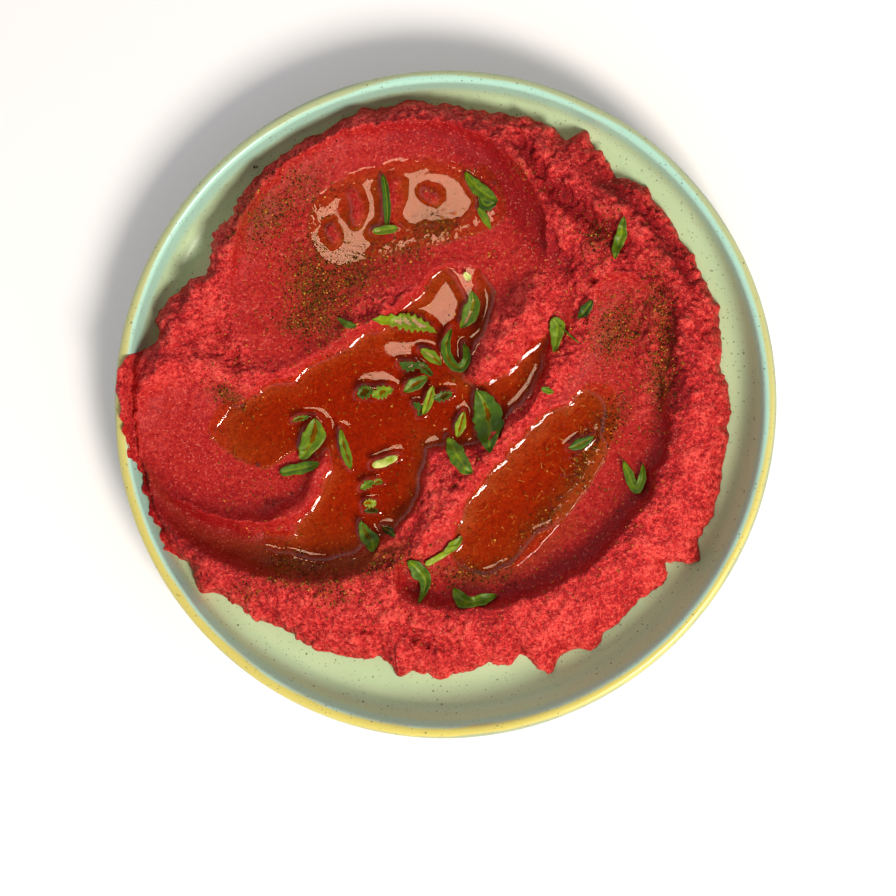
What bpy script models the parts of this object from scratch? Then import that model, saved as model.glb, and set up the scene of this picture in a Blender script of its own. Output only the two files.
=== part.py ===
"""Beetroot hummus spread over a walled stoneware plate, with oil lying in its hollows.

The plate stands on a foot ring with its middle over the origin. Its floor and its wall
are two solids that meet in a circle. The hummus is a low
mound whose outer edge is ragged and whose top has been pushed into bowls, troughs and
ridges by the back of a spoon. Oil fills the three deepest hollows up to a level.
"""

import math

import bpy
import numpy as np

MM = 0.001                      # every size in this file is in millimetres

# Plate
PLATE_SEGMENTS = 72             # steps round the plate
FLOOR_TOP = 7.0                 # upper face of the plate's flat floor
FLOOR_UNDER = 2.5               # lower face of the floor inside the foot ring
LIP_MIDDLE = 107.9              # radius of the middle of the rounded lip
LIP_ROUND = 2.1                 # radius of the lip's half-round top
LIP_BASE = 20.5                 # height at which the half-round top begins
LIP_STEPS = 6                   # facets over the half-round top
BASE_UNDER = [(0.0, FLOOR_UNDER), (58.0, FLOOR_UNDER), (60.0, 0.0), (67.0, 0.0),
              (70.0, 2.4), (88.0, 3.2), (97.0, 4.4)]
BASE_TOP = [(97.0, 7.8), (90.0, 7.3), (70.0, FLOOR_TOP), (0.0, FLOOR_TOP)]
WALL_OUTSIDE = [(97.3, 4.5), (103.8, 6.9), (107.7, 11.2), (109.6, 16.2)]
WALL_INSIDE = [(105.8, LIP_BASE), (105.3, 15.5), (104.2, 11.3), (101.5, 8.9),
               (97.3, 7.87)]

# Hummus
CLEARANCE = 0.3                 # gap kept between two pieces that touch
GRID_CELLS = 46                 # cells along each side of the grid on the hummus
UNDER_DEPTH = -6.0              # how far down the uncut mound reaches
EDGE_RADII = [95.5, 96.5, 99.0, 101.5, 101.5, 98.5, 106.5, 103.0, 91.5, 90.0, 92.5, 95.5]
EDGE_LIMIT = 109.4              # the hummus stops short of the outside of the lip
EDGE_SCALE = 0.96               # the edge runs a little aslant to the radius
EDGE_WIDTH = 8.0                # least width of the rounded outer face
BODY_HEIGHT = 12.5              # height of the mound above the plate's floor
CREST_RISE = 3.8                # extra height of the crest round the mound
CREST_INSETS = [13.0, 16.0, 19.0, 11.0, 10.0, 9.0, 10.0, 10.0, 20.0, 22.0, 19.0, 17.0]
CREST_SPREAD = 0.6              # the crest's width as a share of its inset from the edge
FACE_SPREAD = 0.7               # the outer face's width as a share of that inset
MIDDLE_DROP = 3.0               # how much lower the middle lies than the crest
MIDDLE_START = 5.0              # distance from the crest in to where the middle begins
MIDDLE_WIDTH = 14.0
DRAPE_THICKNESS = 3.5           # hummus lying over the plate's wall and lip
DRAPE_WIDTH = 4.0

# Lobes and notches of the outer edge: angle, half width (degrees), rise of the radius
EDGE_LOBES = [
    (-30.5, 2.6, 4.5), (-35.5, 2.6, -4.5), (-45.0, 4.0, -3.0), (-22.0, 5.0, 1.5),
    (-58.0, 3.0, 3.0), (-67.6, 2.6, 4.8), (-72.6, 2.6, -3.4), (-90.5, 2.6, 2.4),
    (-99.0, 2.6, 2.6), (-118.0, 5.0, 2.0), (-143.0, 3.0, 3.0), (-153.0, 3.0, 2.0),
    (177.0, 4.0, 3.5), (168.5, 2.8, -4.0), (162.8, 2.8, 4.0), (149.0, 4.5, -4.5),
    (108.6, 2.4, 5.5), (97.0, 3.0, 2.0), (66.6, 2.6, -2.5), (61.2, 2.6, 4.0),
    (54.3, 2.6, -2.5), (47.0, 3.0, 2.0), (19.4, 2.6, 1.6), (8.0, 4.0, -2.5),
]

# Spoon sweeps: steepness of the sides, height of the pushed-up lip beside the sweep, and
# the path as x, y, half width, height of the floor, height at the half width. Outside the
# half width a steep step leads up to the hummus that the spoon left alone.
SPOON_SWEEPS = {
    "upper_bowl": (2.6, 1.2, [
        (-46, 18, 20, 14.5, 17.5), (-47, 38, 22.5, 14.3, 18), (-37, 54, 26, 13.6, 18.5),
        (-21, 62, 28, 13.2, 18.5), (-4, 63, 27.5, 13.2, 18), (9, 57, 23, 13.4, 18),
        (18, 44, 16, 13.2, 17)]),
    "middle_slope": (2.0, 0.5, [
        (29, 46, 6, 15.5, 19), (35, 33, 7.5, 14.5, 18), (38, 17, 7, 15, 18)]),
    "tongue": (3.4, 1.4, [
        (-79, -12, 24.5, 13.4, 19.5), (-66, -14.5, 24, 11.6, 18),
        (-54, -21, 16, 10.4, 14)]),
    "lower_trough": (2.2, 0.6, [
        (-98, -22, 4.5, 18, 19.5), (-91, -32, 5, 15.5, 17.5), (-80, -40, 5.5, 14, 17),
        (-68, -44.5, 6.5, 12.8, 16.5), (-56, -47, 8, 12.6, 16),
        (-44, -48, 8.5, 12.5, 16), (-31, -47, 8, 12.5, 16)]),
    "main_basin": (3.0, 0.0, [
        (-62, -7, 10.5, 10.4, 12), (-46, -4, 15, 9.8, 12), (-28, 2, 19, 9.4, 12),
        (-12, 12, 17, 9.8, 12), (0, 25, 13.5, 10.2, 12), (4, 34, 12, 10.8, 12)]),
    "lower_lobe": (3.0, 0.0, [
        (-24, -6, 15, 9.4, 12), (-23, -20, 16, 9.4, 12), (-28, -31, 14.5, 9.6, 12),
        (-34, -36, 10.5, 10.2, 12)]),
    "right_arm": (2.6, 0.0, [
        (-5, -1, 14, 9.8, 12), (10, -3, 9, 10.2, 12), (22, 5, 6.5, 10.4, 12),
        (31, 20, 3.5, 11, 12)]),
    "right_floor": (3.0, 0.8, [
        (58, 32, 9, 15.8, 18), (56, 14, 12, 14.2, 17.5), (51, -6, 21.5, 13, 17),
        (42, -24, 23, 12.6, 17), (28, -40, 20.5, 12.8, 17), (10, -50, 15, 13.4, 17),
        (-8, -57, 6, 15, 17.5)]),
    "right_pool": (2.6, 0.0, [
        (8, -49, 6, 11.4, 12.6), (14, -44, 11, 10.8, 12.6), (27, -28, 12.5, 10.6, 12.6),
        (40, -11, 9.5, 10.8, 12.6), (47, -3, 6.5, 11.4, 12.6)]),
}

# Ridges and grooves left between the sweeps: x, y, half width, rise (down is negative)
RIDGES = {
    "finger": [(14, 14, 5, 5.0), (21, 21, 6, 6.5), (28, 30, 6, 5.5), (33, 37, 5, 3.0)],
    "divide": [
        (-48, -58, 4, 0.6), (-28, -57, 4, 1.0), (-13, -50, 4, 1.6), (-4, -39, 4.5, 2.2),
        (6, -27, 4.5, 2.2), (16, -15, 4.5, 2.0), (26, -4, 4.5, 1.8), (36, 9, 4.5, 1.6),
        (43, 21, 4, 0.8)],
    "outer_groove": [
        (66, 47, 4, -0.5), (70, 40, 4.5, -2.5), (73, 30, 5, -4.5),
        (73.5, 14, 5, -4.5), (72.5, 2, 5, -3.0), (70, -8, 4.5, -1.0)],
    "inner_bead": [
        (60, 40, 4, 0.8), (65, 31, 4, 1.6), (66.5, 18, 4, 1.8), (66, 6, 4, 1.2),
        (64, -4, 4, 0.4)],
    "fork_groove": [
        (30, 54, 4, -0.8), (36, 46, 4, -2.0), (40, 38, 4, -1.8), (44, 30, 4, -0.8)],
    "ring_groove": [
        (24, 86, 4, -1.0), (31, 74, 4, -2.6), (41, 64, 4, -2.6), (52, 56, 4, -2.8),
        (62, 49, 4, -1.8)],
    "left_groove": [
        (-86, 33, 4, -1.0), (-79, 25, 4.5, -2.6), (-74, 17, 4, -2.2),
        (-66, 12, 4, -0.8)],
    "left_crest": [
        (-104, 8, 5, 1.2), (-92, 14, 6, 2.0), (-80, 10, 5, 1.5), (-66, 9, 4, 1.2),
        (-52, 10, 3.5, 1.0)],
}
SPOON_STEP = 2.5                # slope of the step that the spoon's edge leaves
BLEND = 1.0                     # rounding where two surfaces of the hummus meet
LIP_PLACE = 1.05                # the pushed-up lip lies just outside the half width
LIP_SPREAD = 0.16
PATH_STEPS = 4                  # straight steps between two points of a path
PATTERN_SCALE = (1.015, 1.006)  # the strokes and the oil's shores are drawn out by this,
PATTERN_SHIFT = (1.8, 0.15)     # moved by this,
PATTERN_BOW = 0.00022           # and drawn in towards +X by this

# Oil: level of the surface and a line just outside the shore, anticlockwise
OIL_BOTTOM = 8.0
OIL_POOLS = {
    "oil_main_pool": (11.9, [
        (-62, -21), (-48, -17), (-40, -24), (-44, -36), (-53, -44), (-46, -51),
        (-26, -50), (-11, -38), (-4, -24), (8, -15), (26, -5), (36, 14), (35, 26),
        (28, 23), (19, 11), (11, 13), (17, 26), (18, 40), (5, 48), (-11, 44),
        (-21, 33), (-34, 21), (-50, 12), (-69, 6), (-77, -9)]),
    "oil_right_pool": (12.6, [
        (7, -58), (24, -52), (41, -34), (53, -13), (55, 4), (42, 5), (28, -8),
        (13, -26), (1, -43)]),
    "oil_top_puddle": (14.0, [
        (-36, 50), (-18, 52), (4, 56), (16, 66), (6, 79), (-14, 82), (-34, 74),
        (-44, 60)]),
}


def finish(name, colour, roughness):
    """One plain material with a colour (linear red, green, blue) and a roughness."""
    material = bpy.data.materials.new(name)
    material.use_nodes = True
    shader = material.node_tree.nodes["Principled BSDF"]
    shader.inputs["Base Color"].default_value = (*colour, 1.0)
    shader.inputs["Roughness"].default_value = roughness
    shader.inputs["Metallic"].default_value = 0.0
    material.diffuse_color = (*colour, 1.0)
    return material


def add_piece(name, points, faces, material):
    """Add one object from points in millimetres, smooth where its faces turn gently."""
    mesh = bpy.data.meshes.new(name)
    mesh.from_pydata([tuple(MM * value for value in point) for point in points], [], faces)
    mesh.validate()
    mesh.shade_smooth()
    mesh.set_sharp_from_angle(angle=math.radians(50.0))
    piece = bpy.data.objects.new(name, mesh)
    piece.data.materials.append(material)
    bpy.context.scene.collection.objects.link(piece)
    return piece


def cut(piece, cutter):
    """Take the cutter away from the piece and keep the cutter out of sight."""
    modifier = piece.modifiers.new("cut_" + cutter.name, "BOOLEAN")
    modifier.operation = "DIFFERENCE"
    modifier.solver = "EXACT"
    modifier.object = cutter
    cutter.hide_render = True
    cutter.display_type = "WIRE"


def rings(section):
    """Points on a circle round the axis for each radius and height, ring by ring."""
    points = []
    for radius, height in section:
        for step in range(PLATE_SEGMENTS):
            angle = 2.0 * math.pi * step / PLATE_SEGMENTS
            points.append((radius * math.cos(angle), radius * math.sin(angle), height))
    return points


def ring_faces(row_pairs):
    """Faces round the axis between the two rings of each pair."""
    faces = []
    for first, second in row_pairs:
        low = first * PLATE_SEGMENTS
        high = second * PLATE_SEGMENTS
        for step in range(PLATE_SEGMENTS):
            after = (step + 1) % PLATE_SEGMENTS
            faces.append((low + step, low + after, high + after, high + step))
    return faces


def turned_disc(name, section, material):
    """Turn a section that starts and ends on the axis into a solid."""
    points = rings(section[1:-1])
    last_row = len(section) - 3
    faces = ring_faces([(row, row + 1) for row in range(last_row)])
    under = len(points)
    over = under + 1
    points += [(0.0, 0.0, section[0][1]), (0.0, 0.0, section[-1][1])]
    last = last_row * PLATE_SEGMENTS
    for step in range(PLATE_SEGMENTS):
        after = (step + 1) % PLATE_SEGMENTS
        faces.append((under, after, step))
        faces.append((over, last + step, last + after))
    return add_piece(name, points, faces, material)


def turned_ring(name, section, material):
    """Turn a closed section that stays off the axis into a ring."""
    count = len(section)
    faces = ring_faces([(row, (row + 1) % count) for row in range(count)])
    return add_piece(name, rings(section), faces, material)


def lip_arc(extra):
    """The half-round top of the lip from outside to inside, grown outward by extra."""
    reach = LIP_ROUND + extra
    angles = [math.pi * step / LIP_STEPS for step in range(LIP_STEPS + 1)]
    return [(LIP_MIDDLE + reach * math.cos(a), LIP_BASE + reach * math.sin(a))
            for a in angles]


def plate_top(radius):
    """Height of the plate's upper face at a radius: floor, rising wall and lip."""
    inside = sorted(WALL_INSIDE + BASE_TOP)
    floor = np.interp(radius, [p[0] for p in inside], [p[1] for p in inside])
    across = np.clip((radius - LIP_MIDDLE) / LIP_ROUND, -1.0, 1.0)
    lip = LIP_BASE + LIP_ROUND * np.sqrt(1.0 - across ** 2)
    return np.where(radius > LIP_MIDDLE - LIP_ROUND, lip, floor)


def between(before, start, end, after, part):
    """A point on the smooth curve that runs from start to end."""
    bend = 2.0 * before - 5.0 * start + 4.0 * end - after
    twist = -before + 3.0 * start - 3.0 * end + after
    return 0.5 * (2.0 * start + (end - before) * part + bend * part ** 2
                  + twist * part ** 3)


def smooth_path(points):
    """Closely spaced rows of values on a smooth curve through rows of values."""
    rows = np.array(points, float)
    rows = np.vstack([2.0 * rows[0] - rows[1], rows, 2.0 * rows[-1] - rows[-2]])
    found = []
    for index in range(1, len(rows) - 2):
        for step in range(PATH_STEPS):
            found.append(between(*rows[index - 1:index + 3], step / PATH_STEPS))
    found.append(rows[-2])
    return np.array(found)


def smooth_loop(points, steps):
    """A closed smooth curve through points."""
    count = len(points)
    rows = np.array(points, float)
    found = []
    for index in range(count):
        four = [rows[(index + shift) % count] for shift in (-1, 0, 1, 2)]
        for step in range(steps):
            found.append(between(*four, step / steps))
    return found


def round_value(values, angle):
    """Values set evenly round the circle, smooth all the way round, at an angle."""
    rows = np.array(values)
    count = len(rows)
    place = (angle / (2.0 * math.pi) * count) % count
    index = np.floor(place).astype(int)
    four = [rows[(index + shift) % count] for shift in (-1, 0, 1, 2)]
    return between(*four, place - index)


def edge_radius(angle):
    """Radius of the ragged edge of the hummus."""
    radius = round_value(EDGE_RADII, angle)
    for middle, width, rise in EDGE_LOBES:
        turn = (np.degrees(angle) - middle + 180.0) % 360.0 - 180.0
        radius = radius + rise * np.exp(-(turn / width) ** 2)
    return np.minimum(radius, EDGE_LIMIT)


def rounded_face(distance, width):
    """From 0 at the edge to 1 at width inside it, upright at first like a quarter round."""
    part = np.clip(distance / width, 0.0, 1.0)
    return np.sqrt(np.clip(1.0 - (1.0 - part) ** 2, 0.0, 1.0))


def lower_of(first, second, rounding):
    """The lower of two surfaces with the corner between them rounded."""
    share = np.clip(0.5 + 0.5 * (second - first) / rounding, 0.0, 1.0)
    return second * (1.0 - share) + first * share - rounding * share * (1.0 - share)


def mound(x, y):
    """Height of the hummus before the spoon: a ring-shaped crest with a lower middle."""
    radius = np.hypot(x, y)
    angle = np.arctan2(y, x)
    inset = EDGE_SCALE * np.maximum(edge_radius(angle) - radius, 0.0)
    even = EDGE_SCALE * np.maximum(round_value(EDGE_RADII, angle) - radius, 0.0)
    crest_inset = round_value(CREST_INSETS, angle)
    crest = CREST_RISE * np.exp(-((even / crest_inset - 1.0) / CREST_SPREAD) ** 2)
    inner = np.maximum(even - crest_inset - MIDDLE_START, 0.0) / MIDDLE_WIDTH
    drop = MIDDLE_DROP * (1.0 - np.exp(-inner ** 2))
    face = rounded_face(inset, np.maximum(EDGE_WIDTH, FACE_SPREAD * crest_inset))
    body = FLOOR_TOP + face * (BODY_HEIGHT + crest - drop)
    drape = plate_top(radius) + DRAPE_THICKNESS * rounded_face(inset, DRAPE_WIDTH)
    return -lower_of(-body, -drape, BLEND)


def along(x, y, path):
    """For each straight step of a path: the distance to it and the values beside it."""
    rows = smooth_path(path)
    for start, end in zip(rows[:-1], rows[1:]):
        step = end - start
        length = step[0] ** 2 + step[1] ** 2
        part = ((x - start[0]) * step[0] + (y - start[1]) * step[1]) / length
        part = np.clip(part, 0.0, 1.0)
        distance = np.hypot(x - start[0] - part * step[0], y - start[1] - part * step[1])
        yield distance, [start[i] + part * step[i] for i in range(2, len(start))]


def placed(points):
    """Places of the pattern moved to the plate."""
    rows = np.array(points)
    x = rows[:, 0] * (PATTERN_SCALE[0] - PATTERN_BOW * rows[:, 0]) + PATTERN_SHIFT[0]
    y = rows[:, 1] * (PATTERN_SCALE[1] - PATTERN_BOW * rows[:, 0]) + PATTERN_SHIFT[1]
    return np.stack([x, y], axis=1)


def unplaced(x, y):
    """Places on the plate taken back to the pattern."""
    x = (x - PATTERN_SHIFT[0]) / PATTERN_SCALE[0]
    x = x * (1.0 + PATTERN_BOW * x)
    y = (y - PATTERN_SHIFT[1]) / (PATTERN_SCALE[1] - PATTERN_BOW * x)
    return x, y


def hummus_top(x, y):
    """Height of the finished hummus: the mound, the spoon sweeps and the ridges."""
    height = mound(x, y)
    x, y = unplaced(x, y)
    for steepness, lip, path in SPOON_SWEEPS.values():
        surface = np.full(x.shape, 1000.0)
        nearest = np.full(x.shape, 1000.0)
        for distance, (half_width, floor, side) in along(x, y, path):
            share = distance / half_width
            step = SPOON_STEP * np.maximum(distance - half_width, 0.0)
            bowl = floor + (side - floor) * np.minimum(share, 1.0) ** steepness
            surface = np.minimum(surface, bowl + step)
            nearest = np.minimum(nearest, share)
        height = lower_of(height, surface, BLEND)
        height = height + lip * np.exp(-((nearest - LIP_PLACE) / LIP_SPREAD) ** 2)
    for path in RIDGES.values():
        up = np.zeros(x.shape)
        down = np.zeros(x.shape)
        for distance, (half_width, rise) in along(x, y, path):
            change = rise * np.exp(-(distance / half_width) ** 2)
            up = np.maximum(up, change)
            down = np.minimum(down, change)
        height = height + up + down
    return height


def round_grid(cells):
    """A square grid drawn out into a disc of radius 1: x and y, row by row."""
    side = np.linspace(-1.0, 1.0, cells + 1)
    across, along_side = np.meshgrid(side, side)
    wide = np.abs(across) >= np.abs(along_side)
    reach = np.where(wide, across, along_side)
    other = np.where(wide, along_side, across)
    turn = 0.25 * math.pi * other / np.where(reach == 0.0, 1.0, reach)
    along_reach = reach * np.cos(turn)
    across_reach = reach * np.sin(turn)
    x = np.where(wide, along_reach, across_reach)
    y = np.where(wide, across_reach, along_reach)
    return x, y


def border(cells):
    """Places on the rim of a grid in order round it, anticlockwise from above."""
    row = cells + 1
    lower = list(range(cells))
    right = [i * row + cells for i in range(cells)]
    upper = [cells * row + cells - i for i in range(cells)]
    left = [(cells - i) * row for i in range(cells)]
    return lower + right + upper + left


def add_hummus(name, material):
    """The hummus as a grid on top, a wall straight down and a flat underside."""
    x, y = round_grid(GRID_CELLS)
    radius = edge_radius(np.arctan2(y, x))
    x = x * radius
    y = y * radius
    height = hummus_top(x, y)
    points = list(zip(x.ravel(), y.ravel(), height.ravel()))
    faces = []
    row = GRID_CELLS + 1
    for i in range(GRID_CELLS):
        for j in range(GRID_CELLS):
            corner = i * row + j
            faces.append((corner, corner + 1, corner + row + 1, corner + row))
    rim = border(GRID_CELLS)
    under = len(points)
    for place in rim:
        points.append((points[place][0], points[place][1], UNDER_DEPTH))
    count = len(rim)
    for i in range(count):
        after = (i + 1) % count
        faces.append((rim[after], rim[i], under + i, under + after))
    faces.append(tuple(under + count - 1 - i for i in range(count)))
    return add_piece(name, points, faces, material)


def add_pool(name, level, shore, material):
    """A flat block of oil inside a shore line, before the hummus is taken out of it."""
    loop = placed(smooth_loop(shore, 3))
    count = len(loop)
    points = [(p[0], p[1], level) for p in loop]
    points += [(p[0], p[1], OIL_BOTTOM) for p in loop]
    faces = [tuple(range(count)), tuple(2 * count - 1 - i for i in range(count))]
    for i in range(count):
        after = (i + 1) % count
        faces.append((after, i, count + i, count + after))
    return add_piece(name, points, faces, material)


def build():
    """Build the plate, the hummus and the oil."""
    for old in list(bpy.data.objects):
        bpy.data.objects.remove(old, do_unlink=True)

    glaze = finish("stoneware_glaze", (0.42, 0.50, 0.34), 0.30)
    paste = finish("beetroot_hummus", (0.52, 0.035, 0.028), 0.55)
    oil = finish("chilli_oil", (0.34, 0.035, 0.004), 0.08)

    turned_disc("plate_base", BASE_UNDER + BASE_TOP, glaze)
    turned_ring("plate_wall", WALL_OUTSIDE + lip_arc(0.0) + WALL_INSIDE[1:], glaze)

    outside = LIP_MIDDLE + LIP_ROUND + CLEARANCE
    raised_inside = [(r - CLEARANCE, z + CLEARANCE) for r, z in WALL_INSIDE[1:]]
    raised_inside += [(r, z + CLEARANCE) for r, z in BASE_TOP[1:]]
    section = [(0.0, -10.0), (outside, -10.0)] + lip_arc(CLEARANCE) + raised_inside
    plate_room = turned_disc("plate_room", section, glaze)

    hummus = add_hummus("hummus", paste)
    cut(hummus, plate_room)

    hummus_room = add_hummus("hummus_room", paste)
    hummus_room.location.z = CLEARANCE * MM
    for name, (level, shore) in OIL_POOLS.items():
        pool = add_pool(name, level, shore, oil)
        cut(pool, hummus_room)


build()
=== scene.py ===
"""Beetroot hummus on a walled stoneware plate: the looks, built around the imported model.

The plate is a turned surface with a speckled glaze. The hummus is one height field, worked out
from the strokes of a spoon and roughened by noise, and the oil, the herbs, the spice and the
bubbles are laid on that same height field. Shapes are worked out in millimetres, and
build_mesh turns them to metres.
"""

from __future__ import annotations

import logging
import math
from collections.abc import Iterator
from dataclasses import dataclass, field
from enum import Enum

import bpy
import numpy as np
from mathutils import Matrix, Vector


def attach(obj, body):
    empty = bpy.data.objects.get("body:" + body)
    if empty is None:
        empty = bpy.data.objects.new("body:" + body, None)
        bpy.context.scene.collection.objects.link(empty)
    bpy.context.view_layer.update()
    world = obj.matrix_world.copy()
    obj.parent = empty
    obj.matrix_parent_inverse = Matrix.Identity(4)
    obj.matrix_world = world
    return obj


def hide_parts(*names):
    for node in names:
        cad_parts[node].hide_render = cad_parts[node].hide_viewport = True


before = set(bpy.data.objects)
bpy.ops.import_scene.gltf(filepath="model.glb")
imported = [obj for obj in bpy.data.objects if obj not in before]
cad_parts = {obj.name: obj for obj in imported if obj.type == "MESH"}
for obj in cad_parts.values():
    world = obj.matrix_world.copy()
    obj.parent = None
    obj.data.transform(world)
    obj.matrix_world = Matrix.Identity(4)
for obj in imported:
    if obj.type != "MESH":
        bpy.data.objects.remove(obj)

LOG = logging.getLogger("hummus")
MM = 0.001
BODY = "root"

Path = tuple[tuple[float, ...], ...]
Attributes = dict[str, np.ndarray]


# ---------------------------------------------------------------- meshes


def grid_faces(rows: int, columns: int, wrap: bool = False, start: int = 0) -> np.ndarray:
    """Quads of a grid whose points run row by row: each joins a point, the next one in its
    row, and the two above them.

    Args:
        rows: number of rows of points.
        columns: number of points in a row.
        wrap: whether each row closes on itself.
        start: number of the grid's first point.

    Returns:
        An array of four point numbers for each quad.
    """
    row, column = np.meshgrid(np.arange(rows - 1), np.arange(columns if wrap else columns - 1),
                              indexing="ij")
    after = (column + 1) % columns
    low = start + row * columns
    high = low + columns
    quads = np.stack([low + column, low + after, high + after, high + column], axis=-1)
    return quads.reshape(-1, 4)


def build_mesh(name: str, points: np.ndarray, faces: list[np.ndarray],
               material: bpy.types.Material, attributes: Attributes | None = None,
               smooth: bool = True) -> bpy.types.Object:
    """Make one object at the origin from points in millimetres.

    Args:
        name: the piece's name.
        points: one row of x, y, z for each point.
        faces: arrays of point numbers, one row for each face; each array has its own number
            of corners.
        material: the finish.
        attributes: a value for each point under each name, which the material reads.
        smooth: whether the faces are shaded smooth.

    Returns:
        The new object.
    """
    corners = np.concatenate([block.ravel() for block in faces])
    totals = np.concatenate([np.full(len(block), block.shape[1]) for block in faces])
    starts = np.concatenate([[0], np.cumsum(totals)[:-1]])
    mesh = bpy.data.meshes.new(name)
    mesh.vertices.add(len(points))
    mesh.vertices.foreach_set("co", (points * MM).astype(np.float32).ravel())
    mesh.loops.add(len(corners))
    mesh.loops.foreach_set("vertex_index", corners.astype(np.int32))
    mesh.polygons.add(len(totals))
    mesh.polygons.foreach_set("loop_start", starts.astype(np.int32))
    mesh.polygons.foreach_set("loop_total", totals.astype(np.int32))
    mesh.polygons.foreach_set("use_smooth", np.full(len(totals), smooth))
    for label, values in (attributes or {}).items():
        layer = mesh.attributes.new(label, "FLOAT", "POINT")
        layer.data.foreach_set("value", values.astype(np.float32).ravel())
    mesh.materials.append(material)
    mesh.update(calc_edges=True)
    mesh.validate()
    piece = bpy.data.objects.new(name, mesh)
    bpy.context.scene.collection.objects.link(piece)
    return piece


def settle(piece: bpy.types.Object, slot: str, *replaced: str) -> None:
    """Fix a finished piece to the plate's body and report it.

    Args:
        piece: the finished object.
        slot: not used.
        replaced: the CAD nodes that it stands for, if any.
    """
    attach(piece, BODY)
    if replaced:
        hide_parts(*replaced)
    LOG.info("%s: %d points, %d faces", piece.name, len(piece.data.vertices),
             len(piece.data.polygons))


# ---------------------------------------------------------------- noise and curves


@dataclass
class Noise:
    """Smooth random values in space, made from random slopes on a lattice that repeats."""

    seed: int
    cells: int = 32
    slopes: np.ndarray = field(init=False)

    def __post_init__(self) -> None:
        """Draw one random slope of length 1 for each lattice corner."""
        draw = np.random.default_rng(self.seed).normal(size=(self.cells,) * 3 + (3,))
        self.slopes = draw / np.linalg.norm(draw, axis=-1, keepdims=True)

    def at(self, x: np.ndarray, y: np.ndarray, z: np.ndarray | float, size: float) -> np.ndarray:
        """Values near -1 to 1 that change over about size millimetres. At each of the eight
        corners round a point its slope gives a height, and the heights are blended with
        weights 6t^5 - 15t^4 + 10t^3.

        Args:
            x: first coordinate.
            y: second coordinate.
            z: third coordinate.
            size: lattice spacing in millimetres.

        Returns:
            One value for each point.
        """
        place = np.stack(np.broadcast_arrays(x, y, z), axis=-1) / size
        corner = np.floor(place).astype(int)
        part = place - corner
        weight = part ** 3 * (part * (part * 6.0 - 15.0) + 10.0)
        total = np.zeros(part.shape[:-1])
        for step in np.ndindex(2, 2, 2):
            shift = np.array(step)
            index = (corner + shift) % self.cells
            slope = self.slopes[index[..., 0], index[..., 1], index[..., 2]]
            share = np.prod(np.where(shift == 1, weight, 1.0 - weight), axis=-1)
            total += share * np.sum(slope * (part - shift), axis=-1)
        return total * 1.6

    def lumps(self, x: np.ndarray, y: np.ndarray, z: np.ndarray | float,
              size: float) -> np.ndarray:
        """Rounded lumps with creases between them, 0 in a crease: the noise without sign."""
        return np.abs(self.at(x, y, z, size))


def between(before: np.ndarray, start: np.ndarray, end: np.ndarray, after: np.ndarray,
            part: np.ndarray | float) -> np.ndarray:
    """A point on the smooth cubic through start and end, whose direction at each of them is
    that from the point before it to the point after it."""
    bend = 2.0 * before - 5.0 * start + 4.0 * end - after
    twist = -before + 3.0 * start - 3.0 * end + after
    return 0.5 * (2.0 * start + (end - before) * part + bend * part ** 2 + twist * part ** 3)


def smooth_path(points: Path, steps: int) -> np.ndarray:
    """Closely spaced rows of values on a smooth curve through rows of values.

    Args:
        points: the rows that the curve passes through.
        steps: number of steps between two of them.

    Returns:
        The rows on the curve.
    """
    rows = np.array(points, float)
    rows = np.vstack([2.0 * rows[0] - rows[1], rows, 2.0 * rows[-1] - rows[-2]])
    part = (np.arange(steps) / steps)[:, None]
    spans = [between(*rows[i - 1:i + 3], part) for i in range(1, len(rows) - 2)]
    return np.vstack(spans + [rows[-2:-1]])


def smooth_loop(points: Path, steps: int) -> np.ndarray:
    """A closed smooth curve through points, as rows of x and y."""
    rows = np.array(points, float)
    part = (np.arange(steps) / steps)[:, None]
    shifted = [np.roll(rows, shift, axis=0) for shift in (1, 0, -1, -2)]
    spans = [between(*[block[i] for block in shifted], part) for i in range(len(rows))]
    return np.vstack(spans)


def inside_loop(x: np.ndarray, y: np.ndarray, loop: np.ndarray) -> np.ndarray:
    """True where a line to the right of a point crosses the loop an odd number of times."""
    inside = np.zeros(x.shape, bool)
    for (x0, y0), (x1, y1) in zip(loop, np.roll(loop, -1, axis=0)):
        if y0 == y1:
            continue
        crosses = (y0 > y) != (y1 > y)
        inside ^= crosses & (x < x0 + (y - y0) * (x1 - x0) / (y1 - y0))
    return inside


def lower_of(first: np.ndarray, second: np.ndarray, rounding: float) -> np.ndarray:
    """The lower of two surfaces, with the corner between them rounded over rounding mm."""
    share = np.clip(0.5 + 0.5 * (second - first) / rounding, 0.0, 1.0)
    return second * (1.0 - share) + first * share - rounding * share * (1.0 - share)


def higher_of(first: np.ndarray, second: np.ndarray, rounding: float) -> np.ndarray:
    """The higher of two surfaces, with the corner between them rounded over rounding mm."""
    return -lower_of(-first, -second, rounding)


# ---------------------------------------------------------------- the plate's section


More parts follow.
